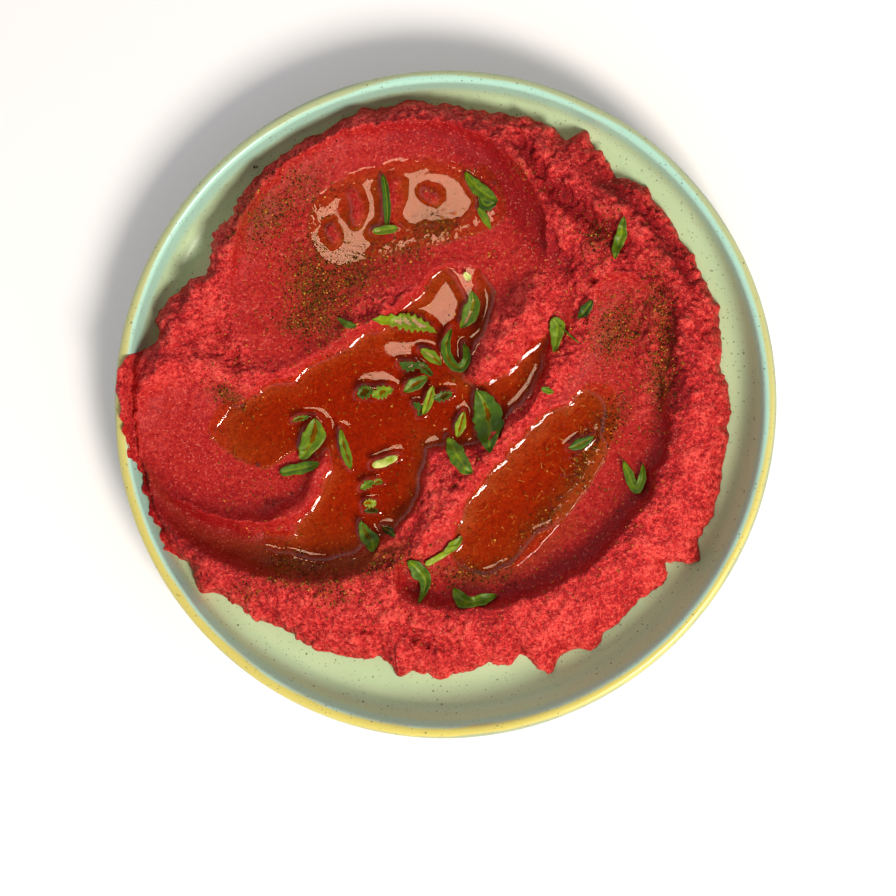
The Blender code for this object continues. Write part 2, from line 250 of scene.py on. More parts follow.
@dataclass(frozen=True)
class PlateSection:
    """The plate cut through its middle: radius and height of each turn, in millimetres."""

    floor: float = 7.0
    lip_middle: float = 107.9
    lip_round: float = 2.1
    lip_base: float = 20.5
    inside: Path = ((0.0, 7.0), (70.0, 7.0), (90.0, 7.3), (97.0, 7.8), (101.5, 8.9),
                    (104.2, 11.3), (105.3, 15.5), (105.8, 20.5))
    outside: Path = ((58.0, 2.5), (60.0, 0.0), (67.0, 0.0), (70.0, 2.4), (88.0, 3.2),
                     (97.0, 4.4), (103.8, 6.9), (107.7, 11.2), (109.6, 16.2), (110.0, 20.5))

    def top(self, radius: np.ndarray) -> np.ndarray:
        """Height of the upper face at a radius: floor, rising wall and half-round lip."""
        wall = np.interp(radius, [p[0] for p in self.inside], [p[1] for p in self.inside])
        across = np.clip((radius - self.lip_middle) / self.lip_round, -1.0, 1.0)
        lip = self.lip_base + self.lip_round * np.sqrt(1.0 - across ** 2)
        return np.where(radius > self.lip_middle - self.lip_round, lip, wall)


# ---------------------------------------------------------------- the hummus's shape


@dataclass(frozen=True)
class SpoonSweep:
    """One stroke of the spoon's back: a trough along a path. Each row of the path is x, y,
    half width, height of the floor and height at the half width."""

    steepness: float
    lip: float
    path: Path


@dataclass(frozen=True)
class Ridge:
    """A ridge, or a groove where the rise is below 0. Each row is x, y, half width, rise."""

    path: Path
    rough: float = 0.0


SPOON_SWEEPS = {
    "upper_bowl": SpoonSweep(2.6, 1.2, (
        (-46, 18, 20, 14.5, 17.5), (-47, 38, 22.5, 14.3, 18), (-37, 54, 26, 13.6, 18.5),
        (-21, 62, 28, 13.2, 18.5), (-4, 63, 27.5, 13.2, 18), (9, 57, 23, 13.4, 18),
        (18, 44, 16, 13.2, 17))),
    "middle_slope": SpoonSweep(2.0, 0.5, (
        (29, 46, 6, 15.5, 19), (35, 33, 7.5, 14.5, 18), (38, 17, 7, 15, 18))),
    "tongue": SpoonSweep(3.4, 1.4, (
        (-79, -12, 24.5, 13.4, 19.5), (-66, -14.5, 24, 11.6, 18), (-54, -21, 16, 10.4, 14))),
    "lower_trough": SpoonSweep(2.2, 0.6, (
        (-101, -20, 2.5, 18, 19.5), (-92, -31.5, 3.5, 15.5, 17.5), (-80, -40, 4.5, 14, 17),
        (-68, -44.5, 5.5, 12.6, 16.5), (-56, -46.5, 7.5, 11.7, 16), (-44, -47, 8.5, 11.2, 16),
        (-31, -46, 8, 11.2, 16))),
    "main_basin": SpoonSweep(3.0, 0.0, (
        (-62, -7, 10.5, 10.4, 12), (-46, -4, 15, 9.8, 12), (-28, 2, 19, 9.4, 12),
        (-12, 12, 17, 9.8, 12), (0, 25, 13.5, 10.2, 12), (4, 34, 12, 10.8, 12))),
    "lower_lobe": SpoonSweep(3.0, 0.0, (
        (-24, -6, 15, 9.4, 12), (-23, -20, 16, 9.4, 12), (-28, -31, 14.5, 9.6, 12),
        (-34, -36, 10.5, 10.2, 12), (-43, -41.5, 7, 10.8, 12))),
    "right_arm": SpoonSweep(2.6, 0.0, (
        (-5, -1, 14, 9.8, 12), (10, -3, 9, 10.2, 12), (22, 5, 6.5, 10.4, 12),
        (31, 20, 3.5, 11, 12))),
    "right_floor": SpoonSweep(3.0, 0.8, (
        (58, 32, 9, 15.8, 18), (56, 14, 12, 14.2, 17.5), (51, -6, 21.5, 13, 17),
        (42, -24, 23, 12.6, 17), (28, -40, 20.5, 12.8, 17), (10, -50, 15, 13.4, 17),
        (-8, -57, 6, 15, 17.5))),
    "right_pool": SpoonSweep(2.6, 0.0, (
        (8, -49, 6, 11.4, 12.6), (14, -44, 11, 10.8, 12.6), (27, -28, 12.5, 10.6, 12.6),
        (40, -11, 9.5, 10.8, 12.6), (47, -3, 6.5, 11.4, 12.6))),
}

RIDGES = {
    "finger": Ridge(((14, 14, 5, 5.0), (21, 21, 6, 6.5), (28, 30, 6, 5.5), (33, 37, 5, 3.0)),
                    rough=1.0),
    "divide": Ridge((
        (-48, -58, 3, 0.6), (-28, -57, 3, 1.0), (-13, -50, 3.5, 1.6), (-4, -39, 4, 2.2),
        (6, -27, 4, 2.2), (16, -15, 4, 2.0), (26, -4, 4, 1.8), (36, 9, 4, 1.6),
        (43, 21, 3.5, 0.8)), rough=1.0),
    "outer_groove": Ridge((
        (66, 47, 3, -0.5), (70, 40, 3.5, -2.5), (73, 30, 4.2, -4.5), (73.5, 14, 4.5, -4.5),
        (72.5, 2, 4, -3.0), (70, -8, 4, -1.0))),
    "inner_bead": Ridge((
        (60, 40, 3, 0.8), (65, 31, 3, 1.6), (66.5, 18, 3, 1.8), (66, 6, 3, 1.2),
        (64, -4, 3, 0.4)), rough=0.8),
    "fork_groove": Ridge((
        (30, 54, 2.5, -0.8), (36, 46, 2.5, -2.0), (40, 38, 2.5, -1.8), (44, 30, 2.5, -0.8))),
    "ring_groove": Ridge((
        (24, 88, 2.8, -2.0), (31, 76, 3.2, -4.6), (41, 66, 3.2, -4.8), (52, 57.5, 3.2, -4.6),
        (63, 48, 3, -3.0), (70, 38, 2.5, -1.0))),
    "left_shoal": Ridge(((-38, 58, 1.8, 1.9), (-36, 55, 1.8, 1.9))),
    "middle_shoal": Ridge(((-31, 70, 1.6, 1.6), (-29, 64, 2.2, 1.9), (-29, 60, 1.6, 1.6))),
    "stem_shoal": Ridge(((-18, 73, 3.0, 1.6), (-18, 66, 3.6, 1.9), (-19, 58, 4.0, 1.8))),
    "right_shoal": Ridge(((-7, 70, 1.8, 1.8), (-4, 68, 2.0, 1.8))),
    "puddle_bank": Ridge(((-24, 50, 3.0, 0.5), (-10, 55, 5.0, 0.9), (2, 56, 5.0, 1.1),
                          (14, 61, 4.5, 1.1), (15, 70, 3.0, 0.9))),
    "tongue_rim": Ridge((
        (-103, -9, 1.8, 0.5), (-97.7, -18.7, 1.8, 1.1), (-90.5, -28, 1.8, 1.3),
        (-83, -33.8, 1.8, 1.4), (-74.7, -36.8, 1.8, 1.5), (-64.7, -38, 1.8, 1.5),
        (-54.6, -37, 1.8, 1.4), (-47.4, -34, 1.6, 1.1), (-43, -30, 1.5, 0.7))),
    "bowl_wall": Ridge((
        (6, 88, 3.5, -0.8), (15, 80, 4.0, -2.0), (23, 69, 4.0, -2.4), (31, 57, 3.5, -2.2),
        (39, 47, 3.0, -1.8), (48, 41, 2.5, -1.0))),
    "lobe_bank": Ridge((
        (-40.5, -15, 2.4, 1.8), (-42.5, -22, 2.8, 3.2), (-46, -29.5, 2.8, 3.2),
        (-54, -36.5, 2.4, 2.2))),
    "basin_bank": Ridge((
        (-54, 12, 2.5, 0.8), (-42, 17, 2.8, 2.0), (-35.5, 22, 2.8, 2.4), (-28, 27, 2.8, 2.2),
        (-21, 30, 2.2, 1.2))),
    "tip_shoal": Ridge(((4, 45, 3.0, 1.6), (7, 40, 4.0, 1.8), (8, 33, 3.0, 1.6))),
    "edge_crease": Ridge((
        (46, 80, 2, -1.4), (62, 66, 2.2, -2.8), (73, 54, 2.2, -2.8), (81, 40, 2, -2.0),
        (85, 24, 2, -1.0))),
    "left_groove": Ridge((
        (-86, 33, 3, -1.0), (-79, 25, 3.5, -2.6), (-74, 17, 3, -2.2), (-66, 12, 3, -0.8))),
    "left_crest": Ridge((
        (-104, 8, 5, 1.2), (-92, 14, 6, 2.0), (-80, 10, 5, 1.5), (-66, 9, 4, 1.2),
        (-52, 10, 3.5, 1.0)), rough=1.0),
    "lower_crack": Ridge(((-45, -71, 1.5, -0.8), (-30, -74, 1.6, -1.8), (-17, -75, 1.6, -1.2))),
    "middle_crack": Ridge(((-16, -73, 1.6, -1.2), (-6, -78, 1.8, -2.2), (6, -80, 1.6, -1.0))),
}


@dataclass
class HummusShape:
    """The upper surface of the hummus as a height over x and y, in millimetres."""

    plate: PlateSection = PlateSection()
    edge_radii: tuple[float, ...] = (95.5, 96.5, 99.0, 101.5, 101.5, 98.5, 106.5, 103.0,
                                     91.5, 90.0, 92.5, 95.5)
    edge_lobes: Path = (
        (-31.0, 2.2, 3.6), (-35.5, 1.8, -4.0), (-45.0, 4.0, -2.0), (-22.0, 5.0, 1.5),
        (-58.0, 3.0, 3.0), (-68.0, 2.2, 4.2), (-72.5, 2.0, -3.5), (-79.0, 4.0, -3.0),
        (-90.5, 1.8, 2.4), (-99.0, 1.8, 2.6), (-104.0, 2.5, -2.0), (-118.0, 5.0, 2.0),
        (-132.0, 3.0, 1.0), (-143.0, 3.0, 3.0), (-153.0, 3.0, 2.0), (-165.0, 5.0, -1.0),
        (175.0, 4.0, 3.5), (166.5, 2.0, -2.5), (161.0, 3.2, 1.5), (150.0, 4.0, -5.5),
        (139.0, 4.0, -2.5), (106.0, 3.0, 1.2), (97.0, 3.0, 1.5), (81.0, 6.0, -2.0),
        (64.8, 1.8, -2.5), (62.0, 1.8, 4.0), (53.0, 3.0, -3.0), (47.0, 3.0, 1.0),
        (19.4, 1.0, 2.0), (8.0, 4.0, -2.5))
    edge_limit: float = 109.4
    edge_scale: float = 0.96
    edge_width: float = 8.0
    body_height: float = 12.5
    crest_rise: float = 3.8
    crest_insets: tuple[float, ...] = (13.0, 16.0, 19.0, 11.0, 10.0, 9.0, 10.0, 10.0, 20.0,
                                       22.0, 19.0, 17.0)
    crest_spread: float = 0.6
    face_spread: float = 0.7
    middle_drop: float = 3.0
    middle_start: float = 5.0
    middle_width: float = 14.0
    drape_thickness: float = 3.5
    drape_width: float = 4.0
    spoon_step: float = 2.5
    lip_place: float = 1.05
    lip_spread: float = 0.12
    path_steps: int = 4
    pattern_scale: tuple[float, float] = (1.015, 1.006)
    pattern_shift: tuple[float, float] = (1.8, 0.15)
    pattern_bow: float = 0.00022
    rag: Noise = field(default_factory=lambda: Noise(11))
    clods: Noise = field(default_factory=lambda: Noise(12))
    streaks: Noise = field(default_factory=lambda: Noise(13))

    @staticmethod
    def round_value(values: tuple[float, ...], angle: np.ndarray) -> np.ndarray:
        """Values set evenly round the circle, joined by a smooth cubic, at an angle."""
        rows = np.array(values)
        place = (angle / (2.0 * math.pi) * len(rows)) % len(rows)
        index = np.floor(place).astype(int)
        four = [rows[(index + shift) % len(rows)] for shift in (-1, 0, 1, 2)]
        return between(*four, place - index)

    def edge_radius(self, angle: np.ndarray) -> np.ndarray:
        """Radius of the ragged edge: the mean, bell-shaped lobes and fine noise."""
        radius = self.round_value(self.edge_radii, angle)
        for middle, width, rise in self.edge_lobes:
            turn = (np.degrees(angle) - middle + 180.0) % 360.0 - 180.0
            radius = radius + rise * np.exp(-(turn / width) ** 2)
        x = 95.0 * np.cos(angle)
        y = 95.0 * np.sin(angle)
        radius += 1.1 * self.rag.at(x, y, 0.0, 5.0) + 0.7 * self.rag.at(x, y, 9.0, 2.2)
        return np.minimum(radius, self.edge_limit)

    @staticmethod
    def rounded_face(distance: np.ndarray, width: np.ndarray | float) -> np.ndarray:
        """From 0 at the edge to 1 at width inside it, along a quarter round."""
        part = np.clip(distance / width, 0.0, 1.0)
        return np.sqrt(np.clip(1.0 - (1.0 - part) ** 2, 0.0, 1.0))

    def mound(self, x: np.ndarray, y: np.ndarray) -> np.ndarray:
        """Height before the spoon: a ring-shaped crest round a lower middle, which drapes
        over the plate's wall where the edge reaches it."""
        radius = np.hypot(x, y)
        angle = np.arctan2(y, x)
        inset = self.edge_scale * np.maximum(self.edge_radius(angle) - radius, 0.0)
        mean = self.round_value(self.edge_radii, angle)
        even = self.edge_scale * np.maximum(mean - radius, 0.0)
        crest_inset = self.round_value(self.crest_insets, angle)
        crest = self.crest_rise * np.exp(-((even / crest_inset - 1.0)
                                           / self.crest_spread) ** 2)
        inner = np.maximum(even - crest_inset - self.middle_start, 0.0) / self.middle_width
        drop = self.middle_drop * (1.0 - np.exp(-inner ** 2))
        width = np.maximum(self.edge_width, self.face_spread * crest_inset)
        rise = self.rounded_face(inset, width) * (self.body_height + crest - drop)
        drape = self.drape_thickness * self.rounded_face(inset, self.drape_width)
        return higher_of(self.plate.floor + rise, self.plate.top(radius) + drape, 1.0)

    def along(self, x: np.ndarray, y: np.ndarray,
              path: Path) -> Iterator[tuple[np.ndarray, np.ndarray, list[np.ndarray]]]:
        """Walk a path step by step.

        Args:
            x: places to measure from.
            y: places to measure from.
            path: the path's rows.

        Yields:
            For each straight step: the distance to it (its sign tells the side), the length
            of the path up to there, and the path's own values beside each place.
        """
        rows = smooth_path(path, self.path_steps)
        run = 0.0
        for start, end in zip(rows[:-1], rows[1:]):
            step = end - start
            length = math.hypot(step[0], step[1])
            part = ((x - start[0]) * step[0] + (y - start[1]) * step[1]) / length ** 2
            part = np.clip(part, 0.0, 1.0)
            dx = x - start[0] - part * step[0]
            dy = y - start[1] - part * step[1]
            side = np.where(step[0] * dy - step[1] * dx < 0.0, -1.0, 1.0)
            values = [start[i] + part * step[i] for i in range(2, len(start))]
            yield side * np.hypot(dx, dy), run + part * length, values
            run += length

    def amount_along(self, x: np.ndarray, y: np.ndarray, path: Path) -> np.ndarray:
        """An amount that follows a path and falls off beside it as a bell.

        Args:
            x: places on the plate in millimetres.
            y: places on the plate in millimetres.
            path: rows of x, y, half width and amount.

        Returns:
            The amount at each place.
        """
        x, y = self.unplaced(x, y)
        most = np.zeros(x.shape)
        for distance, _, (half_width, amount) in self.along(x, y, path):
            most = np.maximum(most, amount * np.exp(-(distance / half_width) ** 2))
        return most

    def top(self, x: np.ndarray, y: np.ndarray) -> tuple[np.ndarray, np.ndarray, np.ndarray]:
        """The finished surface before its fine roughness.

        A sweep's surface is floor + (side - floor) * (distance / half width) ^ steepness, with
        a steep step outside the half width, and the hummus is the lower of it and what was
        there, with a pushed-up lip beside it.

        Args:
            x: places in millimetres.
            y: places in millimetres.

        Returns:
            The height, how much of the surface is swept smooth (0 to 1), and a value for the
            fine streaks that follow each stroke.
        """
        height = self.mound(x, y)
        stray = 1.3 * self.rag.at(x, y, 20.0, 9.0) + 0.7 * self.rag.at(x, y, 30.0, 4.0)
        x, y = self.unplaced(x + stray, y - stray)
        swept = np.zeros(x.shape)
        streak = np.zeros(x.shape)
        for sweep in SPOON_SWEEPS.values():
            surface = np.full(x.shape, 1000.0)
            nearest = np.full(x.shape, 1000.0)
            across = np.zeros(x.shape)
            run = np.zeros(x.shape)
            for distance, walked, (half_width, floor, side) in self.along(x, y, sweep.path):
                share = np.abs(distance) / half_width
                bowl = floor + (side - floor) * np.minimum(share, 1.0) ** sweep.steepness
                step = self.spoon_step * np.maximum(np.abs(distance) - half_width, 0.0)
                surface = np.minimum(surface, bowl + step)
                closer = share < nearest
                nearest = np.where(closer, share, nearest)
                across = np.where(closer, distance, across)
                run = np.where(closer, walked, run)
            cut = np.clip((height - surface) / 0.8 + 0.5, 0.0, 1.0)
            swept = np.maximum(swept, cut)
            lines = (self.streaks.at(across, run / 9.0, 0.0, 1.6)
                     + self.streaks.at(across, run / 14.0, 7.0, 4.0))
            streak = streak * (1.0 - cut) + lines * cut
            height = lower_of(height, surface, 1.0)
            height += sweep.lip * np.exp(-((nearest - self.lip_place) / self.lip_spread) ** 2)
        for ridge in RIDGES.values():
            up = np.zeros(x.shape)
            down = np.zeros(x.shape)
            for distance, _, (half_width, rise) in self.along(x, y, ridge.path):
                change = rise * np.exp(-(distance / half_width) ** 2)
                up = np.maximum(up, change)
                down = np.minimum(down, change)
            height = height + up + down
            swept = swept * (1.0 - ridge.rough * np.clip(up / 1.2, 0.0, 1.0))
        return height, swept, streak

    def roughness(self, points: np.ndarray, swept: np.ndarray,
                  streak: np.ndarray) -> np.ndarray:
        """How far each point stands out along its normal: lumps of three sizes with creases
        between them where the hummus is heaped, and fine grain and streaks where the spoon
        has passed.

        Args:
            points: x, y, z of each point.
            swept: how smooth the surface is.
            streak: the value of the spoon's streaks.

        Returns:
            The distance in millimetres.
        """
        x, y, z = points[..., 0], points[..., 1], points[..., 2]
        heaped = (0.9 * self.clods.at(x, y, z, 12.0)
                  + 1.8 * (self.clods.lumps(x, y, z, 6.5) - 0.3)
                  + 1.6 * (self.clods.lumps(x, y, z + 40.0, 3.4) - 0.3)
                  + 1.1 * (self.clods.lumps(x, y, z + 70.0, 1.8) - 0.3))
        smooth = (0.28 * self.clods.at(x, y, z, 9.0) + 0.18 * self.clods.at(x, y, z, 3.5)
                  + 0.10 * self.clods.at(x, y, z + 30.0, 1.6) + 0.05 * streak)
        return heaped * (1.0 - swept) + smooth * swept

    def placed(self, rows: np.ndarray) -> np.ndarray:
        """Rows whose first two values are a place in the pattern, with that place moved to
        the plate."""
        moved = np.array(rows, float)
        bow = self.pattern_bow * moved[:, :1]
        moved[:, :2] = (moved[:, :2] * (np.array(self.pattern_scale) - bow)
                        + np.array(self.pattern_shift))
        return moved

    def unplaced(self, x: np.ndarray, y: np.ndarray) -> tuple[np.ndarray, np.ndarray]:
        """Places on the plate taken back to the pattern."""
        x = (x - self.pattern_shift[0]) / self.pattern_scale[0]
        x = x * (1.0 + self.pattern_bow * x)
        return x, (y - self.pattern_shift[1]) / (self.pattern_scale[1] - self.pattern_bow * x)

    def finished(self, x: np.ndarray, y: np.ndarray) -> np.ndarray:
        """Height of the surface with its roughness."""
        height, swept, streak = self.top(x, y)
        points = np.stack([x, y, height], axis=-1)
        return height + self.roughness(points, swept, streak)


# ---------------------------------------------------------------- finishes


def linear(colour: str) -> tuple[float, float, float, float]:
    """Turn an sRGB hex colour to linear: c / 12.92 when c is small, else
    ((c + 0.055) / 1.055) ^ 2.4."""
    parts = [int(colour[i:i + 2], 16) / 255.0 for i in (1, 3, 5)]
    plain = [c / 12.92 if c <= 0.04045 else ((c + 0.055) / 1.055) ** 2.4 for c in parts]
    return (*plain, 1.0)


def add_node(tree: bpy.types.NodeTree, kind: str, settings: dict | None = None,
             inputs: dict | None = None) -> bpy.types.Node:
    """Add a node with its settings and its inputs.

    Args:
        tree: the material's node tree.
        kind: the node's type, without the words ShaderNode.
        settings: properties of the node; a list under "ramp" gives a ColorRamp's stops.
        inputs: values, or output sockets to link from, under the names of the inputs.

    Returns:
        The node.
    """
    node = tree.nodes.new("ShaderNode" + kind)
    for name, value in (settings or {}).items():
        if name == "ramp":
            ramp = node.color_ramp
            while len(ramp.elements) < len(value):
                ramp.elements.new(0.5)
            for element, (position, colour) in zip(ramp.elements, value):
                element.position = position
                element.color = linear(colour) if isinstance(colour, str) else (
                    colour, colour, colour, 1.0)
        else:
            setattr(node, name, value)
    for name, value in (inputs or {}).items():
        if isinstance(value, bpy.types.NodeSocket):
            tree.links.new(value, node.inputs[name])
        else:
            node.inputs[name].default_value = value
    return node


def start_material(name: str) -> tuple[bpy.types.Material, bpy.types.NodeTree]:
    """A new material with an empty node tree."""
    material = bpy.data.materials.new(name)
    material.use_nodes = True
    material.node_tree.nodes.clear()
    return material, material.node_tree


def mix_colours(tree: bpy.types.NodeTree, share: bpy.types.NodeSocket | float,
                first: bpy.types.NodeSocket | tuple, second: bpy.types.NodeSocket | tuple,
                blend: str = "MIX") -> bpy.types.NodeSocket:
    """Mix two colours by a share and return the result's socket."""
    node = add_node(tree, "Mix", {"data_type": "RGBA", "blend_type": blend})
    for index, value in ((0, share), (6, first), (7, second)):
        if isinstance(value, bpy.types.NodeSocket):
            tree.links.new(value, node.inputs[index])
        else:
            node.inputs[index].default_value = value
    return node.outputs[2]


@dataclass(frozen=True)
class SpeckledGlaze:
    """Satin sage-green stoneware glaze with iron specks. It pools pale turquoise on the upper
    wall and breaks to straw over the lip, more so on its near (-Y) side."""

    floor: str = "#b0ca9e"
    floor_pale: str = "#c4dfb4"
    wall: str = "#a6d2bd"
    straw: str = "#c8bb60"
    lip_green: str = "#a9b384"
    outside: str = "#8f9a7c"
    speck: str = "#56523c"
    clay: str = "#b9a287"

    def build(self) -> bpy.types.Material:
        """Make the glaze: rings of colour by radius and height, clouds, and specks."""
        material, tree = start_material("speckled_stoneware_glaze")
        place = add_node(tree, "TexCoord").outputs["Object"]
        apart = add_node(tree, "SeparateXYZ", inputs={"Vector": place}).outputs
        flat = add_node(tree, "CombineXYZ", inputs={"X": apart["X"], "Y": apart["Y"]})
        radius = add_node(tree, "VectorMath", {"operation": "LENGTH"},
                          {"Vector": flat.outputs["Vector"]}).outputs["Value"]
        cloud = add_node(tree, "TexNoise", inputs={"Vector": place, "Scale": 26.0,
                                                   "Detail": 5.0}).outputs["Fac"]
        wobble = add_node(tree, "MapRange", inputs={
            "Value": cloud, "From Min": 0.3, "From Max": 0.7, "To Min": -0.0007,
            "To Max": 0.0007}).outputs["Result"]
        ring = add_node(tree, "Math", {"operation": "ADD"}, {0: radius, 1: wobble}).outputs[0]
        # straw on the near side of the lip, sage on the far side
        near_side = add_node(tree, "MapRange", inputs={
            "Value": apart["Y"], "From Min": 0.075, "From Max": -0.045}).outputs["Result"]
        lip = mix_colours(tree, near_side, linear(self.lip_green), linear(self.straw))
        floor = mix_colours(tree, cloud, linear(self.floor), linear(self.floor_pale))
        # on the wall the bands follow the height, and over the lip they follow the radius
        height = add_node(tree, "Math", {"operation": "ADD"}, {0: apart["Z"], 1: wobble})
        wall_share = add_node(tree, "MapRange", inputs={
            "Value": height.outputs[0], "From Min": 0.0125, "From Max": 0.0165}).outputs["Result"]
        colour = mix_colours(tree, wall_share, floor, linear(self.wall))
        # where the lip colour begins wanders from one side of the plate to the other
        side = add_node(tree, "VectorMath", {"operation": "DOT_PRODUCT"},
                        {0: place, 1: (0.0056, 0.0047, 0.0)}).outputs["Value"]
        break_line = add_node(tree, "Math", {"operation": "SUBTRACT"}, {0: ring, 1: side})
        lip_share = add_node(tree, "MapRange", inputs={
            "Value": break_line.outputs[0], "From Min": 0.1067,
            "From Max": 0.1076}).outputs["Result"]
        colour = mix_colours(tree, lip_share, colour, lip)
        # the outside's own colour, which from r 109.2 mm also covers the lip's outer edge as painted shade on
        # that edge
        outside_and_edge_shade = add_node(tree, "MapRange", inputs={
            "Value": ring, "From Min": 0.1092, "From Max": 0.1100}).outputs["Result"]
        colour = mix_colours(tree, outside_and_edge_shade, colour, linear(self.outside))
        facing = add_node(tree, "NewGeometry").outputs["Normal"]
        down = add_node(tree, "SeparateXYZ", inputs={"Vector": facing}).outputs["Z"]
        under = add_node(tree, "MapRange", inputs={
            "Value": down, "From Min": 0.02, "From Max": -0.1}).outputs["Result"]
        colour = mix_colours(tree, under, colour, linear(self.outside))
        bare = add_node(tree, "MapRange", inputs={
            "Value": apart["Z"], "From Min": 0.0007, "From Max": 0.0002}).outputs["Result"]
        colour = mix_colours(tree, bare, colour, linear(self.clay))
        # iron specks 0.2 to 0.6 mm across, three sizes of cell
        for scale, size, chance in ((300.0, 0.15, 0.45), (600.0, 0.22, 0.45), (1100.0, 0.25, 0.60)):
            cells = add_node(tree, "TexVoronoi", inputs={"Vector": place, "Scale": scale})
            near = add_node(tree, "MapRange", inputs={
                "Value": cells.outputs["Distance"], "From Min": size,
                "From Max": size * 0.5}).outputs["Result"]
            chosen = add_node(tree, "SeparateColor", inputs={"Color": cells.outputs["Color"]})
            rare = add_node(tree, "MapRange", inputs={
                "Value": chosen.outputs["Red"], "From Min": chance, "From Max": 1.0,
                "To Max": 0.9}).outputs["Result"]
            speck = add_node(tree, "Math", {"operation": "MULTIPLY"}, {0: near, 1: rare})
            colour = mix_colours(tree, speck.outputs[0], colour, linear(self.speck))
        grain = add_node(tree, "TexNoise", inputs={"Vector": place, "Scale": 700.0,
                                                   "Detail": 2.0}).outputs["Fac"]
        bump = add_node(tree, "Bump", inputs={"Strength": 0.3, "Distance": 0.0001,
                                              "Height": grain}).outputs["Normal"]
        rough = add_node(tree, "MapRange", inputs={
            "Value": bare, "To Min": 0.30, "To Max": 0.85}).outputs["Result"]
        shader = add_node(tree, "BsdfPrincipled", inputs={
            "Base Color": colour, "Roughness": rough, "Normal": bump})
        add_node(tree, "OutputMaterial", inputs={"Surface": shader.outputs["BSDF"]})
        return material


@dataclass(frozen=True)
class BeetrootHummus:
    """Chickpea paste dyed by beetroot: a moist crimson with paler ground chickpea in it, whose
    flecks also serve as painted glints. Where heaped it has painted shade in its creases and
    painted light on its clods, with painted shade along the walls of the strokes; it is finer,
    darker and wetter where swept, and orange-brown where oil stands on it."""

    # crease: painted shade in the creases; light: painted light on the clods' tops; both are also reached by the
    # grain's own darker and paler tone
    crease_shade: str = "#8a1016"
    body: str = "#be2424"
    light: str = "#e04e44"
    meal_and_glint: str = "#e8806a"
    # swept_shade: painted shade along the strokes' walls, and also the swept grain's darker tone
    swept_shade: str = "#860c10"
    swept: str = "#a61a18"
    swept_light: str = "#b83428"
    soaked: str = "#782c0c"
    soaked_light: str = "#9c4814"
    dust: str = "#4a1e08"
    dust_light: str = "#7c4010"

    def build(self) -> bpy.types.Material:
        """Make the paste from noise at the sizes of its grain, by the point values for the swept share,
        the painted shade and light of the relief, the spice and the oil's soak."""
        material, tree = start_material("beetroot_hummus_paste")
        place = add_node(tree, "TexCoord").outputs["Object"]
        # the relief value is painted shade and light: high on the clods, low in the creases and along the
        # strokes' walls
        swept, raised, spice, soaked = [
            add_node(tree, "Attribute", {"attribute_name": label}).outputs["Fac"]
            for label in ("swept", "raised", "spice", "soaked")]
        # grain 1.2 mm and 0.5 mm wide
        coarse = add_node(tree, "TexNoise", inputs={"Vector": place, "Scale": 800.0,
                                                    "Detail": 2.0}).outputs["Fac"]
        fine = add_node(tree, "TexNoise", inputs={"Vector": place, "Scale": 2000.0,
                                                  "Detail": 2.0,
                                                  "Roughness": 0.6}).outputs["Fac"]
        grain = add_node(tree, "Math", {"operation": "ADD"}, {0: coarse, 1: fine}).outputs[0]
        spread = add_node(tree, "MapRange", {"clamp": False}, {
            "Value": grain, "From Min": 0.78, "From Max": 1.22, "To Min": -0.33,
            "To Max": 0.33}).outputs["Result"]
        # painted shade in the creases and painted light on the clods, over the grain's own tone
        level = add_node(tree, "Math", {"operation": "ADD"}, {0: raised, 1: spread}).outputs[0]
        heaped = add_node(tree, "ValToRGB", {"ramp": [
            (0.10, self.crease_shade), (0.45, self.body), (0.80, self.light)]},
            {"Fac": level}).outputs["Color"]
        # the same painted shade and light for the swept paste, over its grain
        tone_and_painted_shading = add_node(tree, "Math", {"operation": "ADD"}, {0: spread, 1: raised}).outputs[0]
        smoothed = add_node(tree, "ValToRGB", {"ramp": [
            (0.08, self.swept_shade), (0.50, self.swept), (0.92, self.swept_light)]},
            {"Fac": tone_and_painted_shading}).outputs["Color"]
        colour = mix_colours(tree, swept, heaped, smoothed)
        # flecks of ground chickpea 0.5 to 1 mm wide, which also serve as painted glints
        fleck_and_glint = add_node(tree, "TexNoise", inputs={"Vector": place, "Scale": 1250.0,
                                                   "Detail": 0.0}).outputs["Fac"]
        fleck_and_glint = add_node(tree, "MapRange", inputs={
            "Value": fleck_and_glint, "From Min": 0.68, "From Max": 0.78, "To Max": 0.35}).outputs["Result"]
        colour = mix_colours(tree, fleck_and_glint, colour, linear(self.meal_and_glint))
        # under oil the paste takes up the oil's orange, lighter and darker with the grain and the painted shade
        # and light of the relief
        amber = mix_colours(tree, tone_and_painted_shading, linear(self.soaked), linear(self.soaked_light))
        colour = mix_colours(tree, soaked, colour, amber)
        # ground spice: a stain with brighter grains in it, lighter with the painted light on the clods, and lying
        # thicker where that value is high
        dust = mix_colours(tree, tone_and_painted_shading, linear(self.dust), linear(self.dust_light))
        lay = add_node(tree, "Math", {"operation": "MULTIPLY_ADD", "use_clamp": True},
                       {0: tone_and_painted_shading, 1: 1.5, 2: -0.1}).outputs[0]
        lay = add_node(tree, "Math", {"operation": "MULTIPLY"}, {0: lay, 1: spice}).outputs[0]
        colour = mix_colours(tree, lay, colour, dust)
        rough = add_node(tree, "MapRange", inputs={
            "Value": soaked, "To Min": 0.42, "To Max": 0.2}).outputs["Result"]
        relief = add_node(tree, "MapRange", inputs={
            "Value": swept, "To Min": 0.0008, "To Max": 0.0003}).outputs["Result"]
        bump = add_node(tree, "Bump", inputs={"Strength": 0.8, "Distance": relief,
                                              "Height": grain}).outputs["Normal"]
        shader = add_node(tree, "BsdfPrincipled", inputs={
            "Base Color": colour, "Roughness": rough, "Normal": bump,
            "Specular IOR Level": 0.15, "Subsurface Weight": 0.10,
            "Subsurface Radius": (1.0, 0.25, 0.18), "Subsurface Scale": 0.0012})
        add_node(tree, "OutputMaterial", inputs={"Surface": shader.outputs["BSDF"]})
        return material


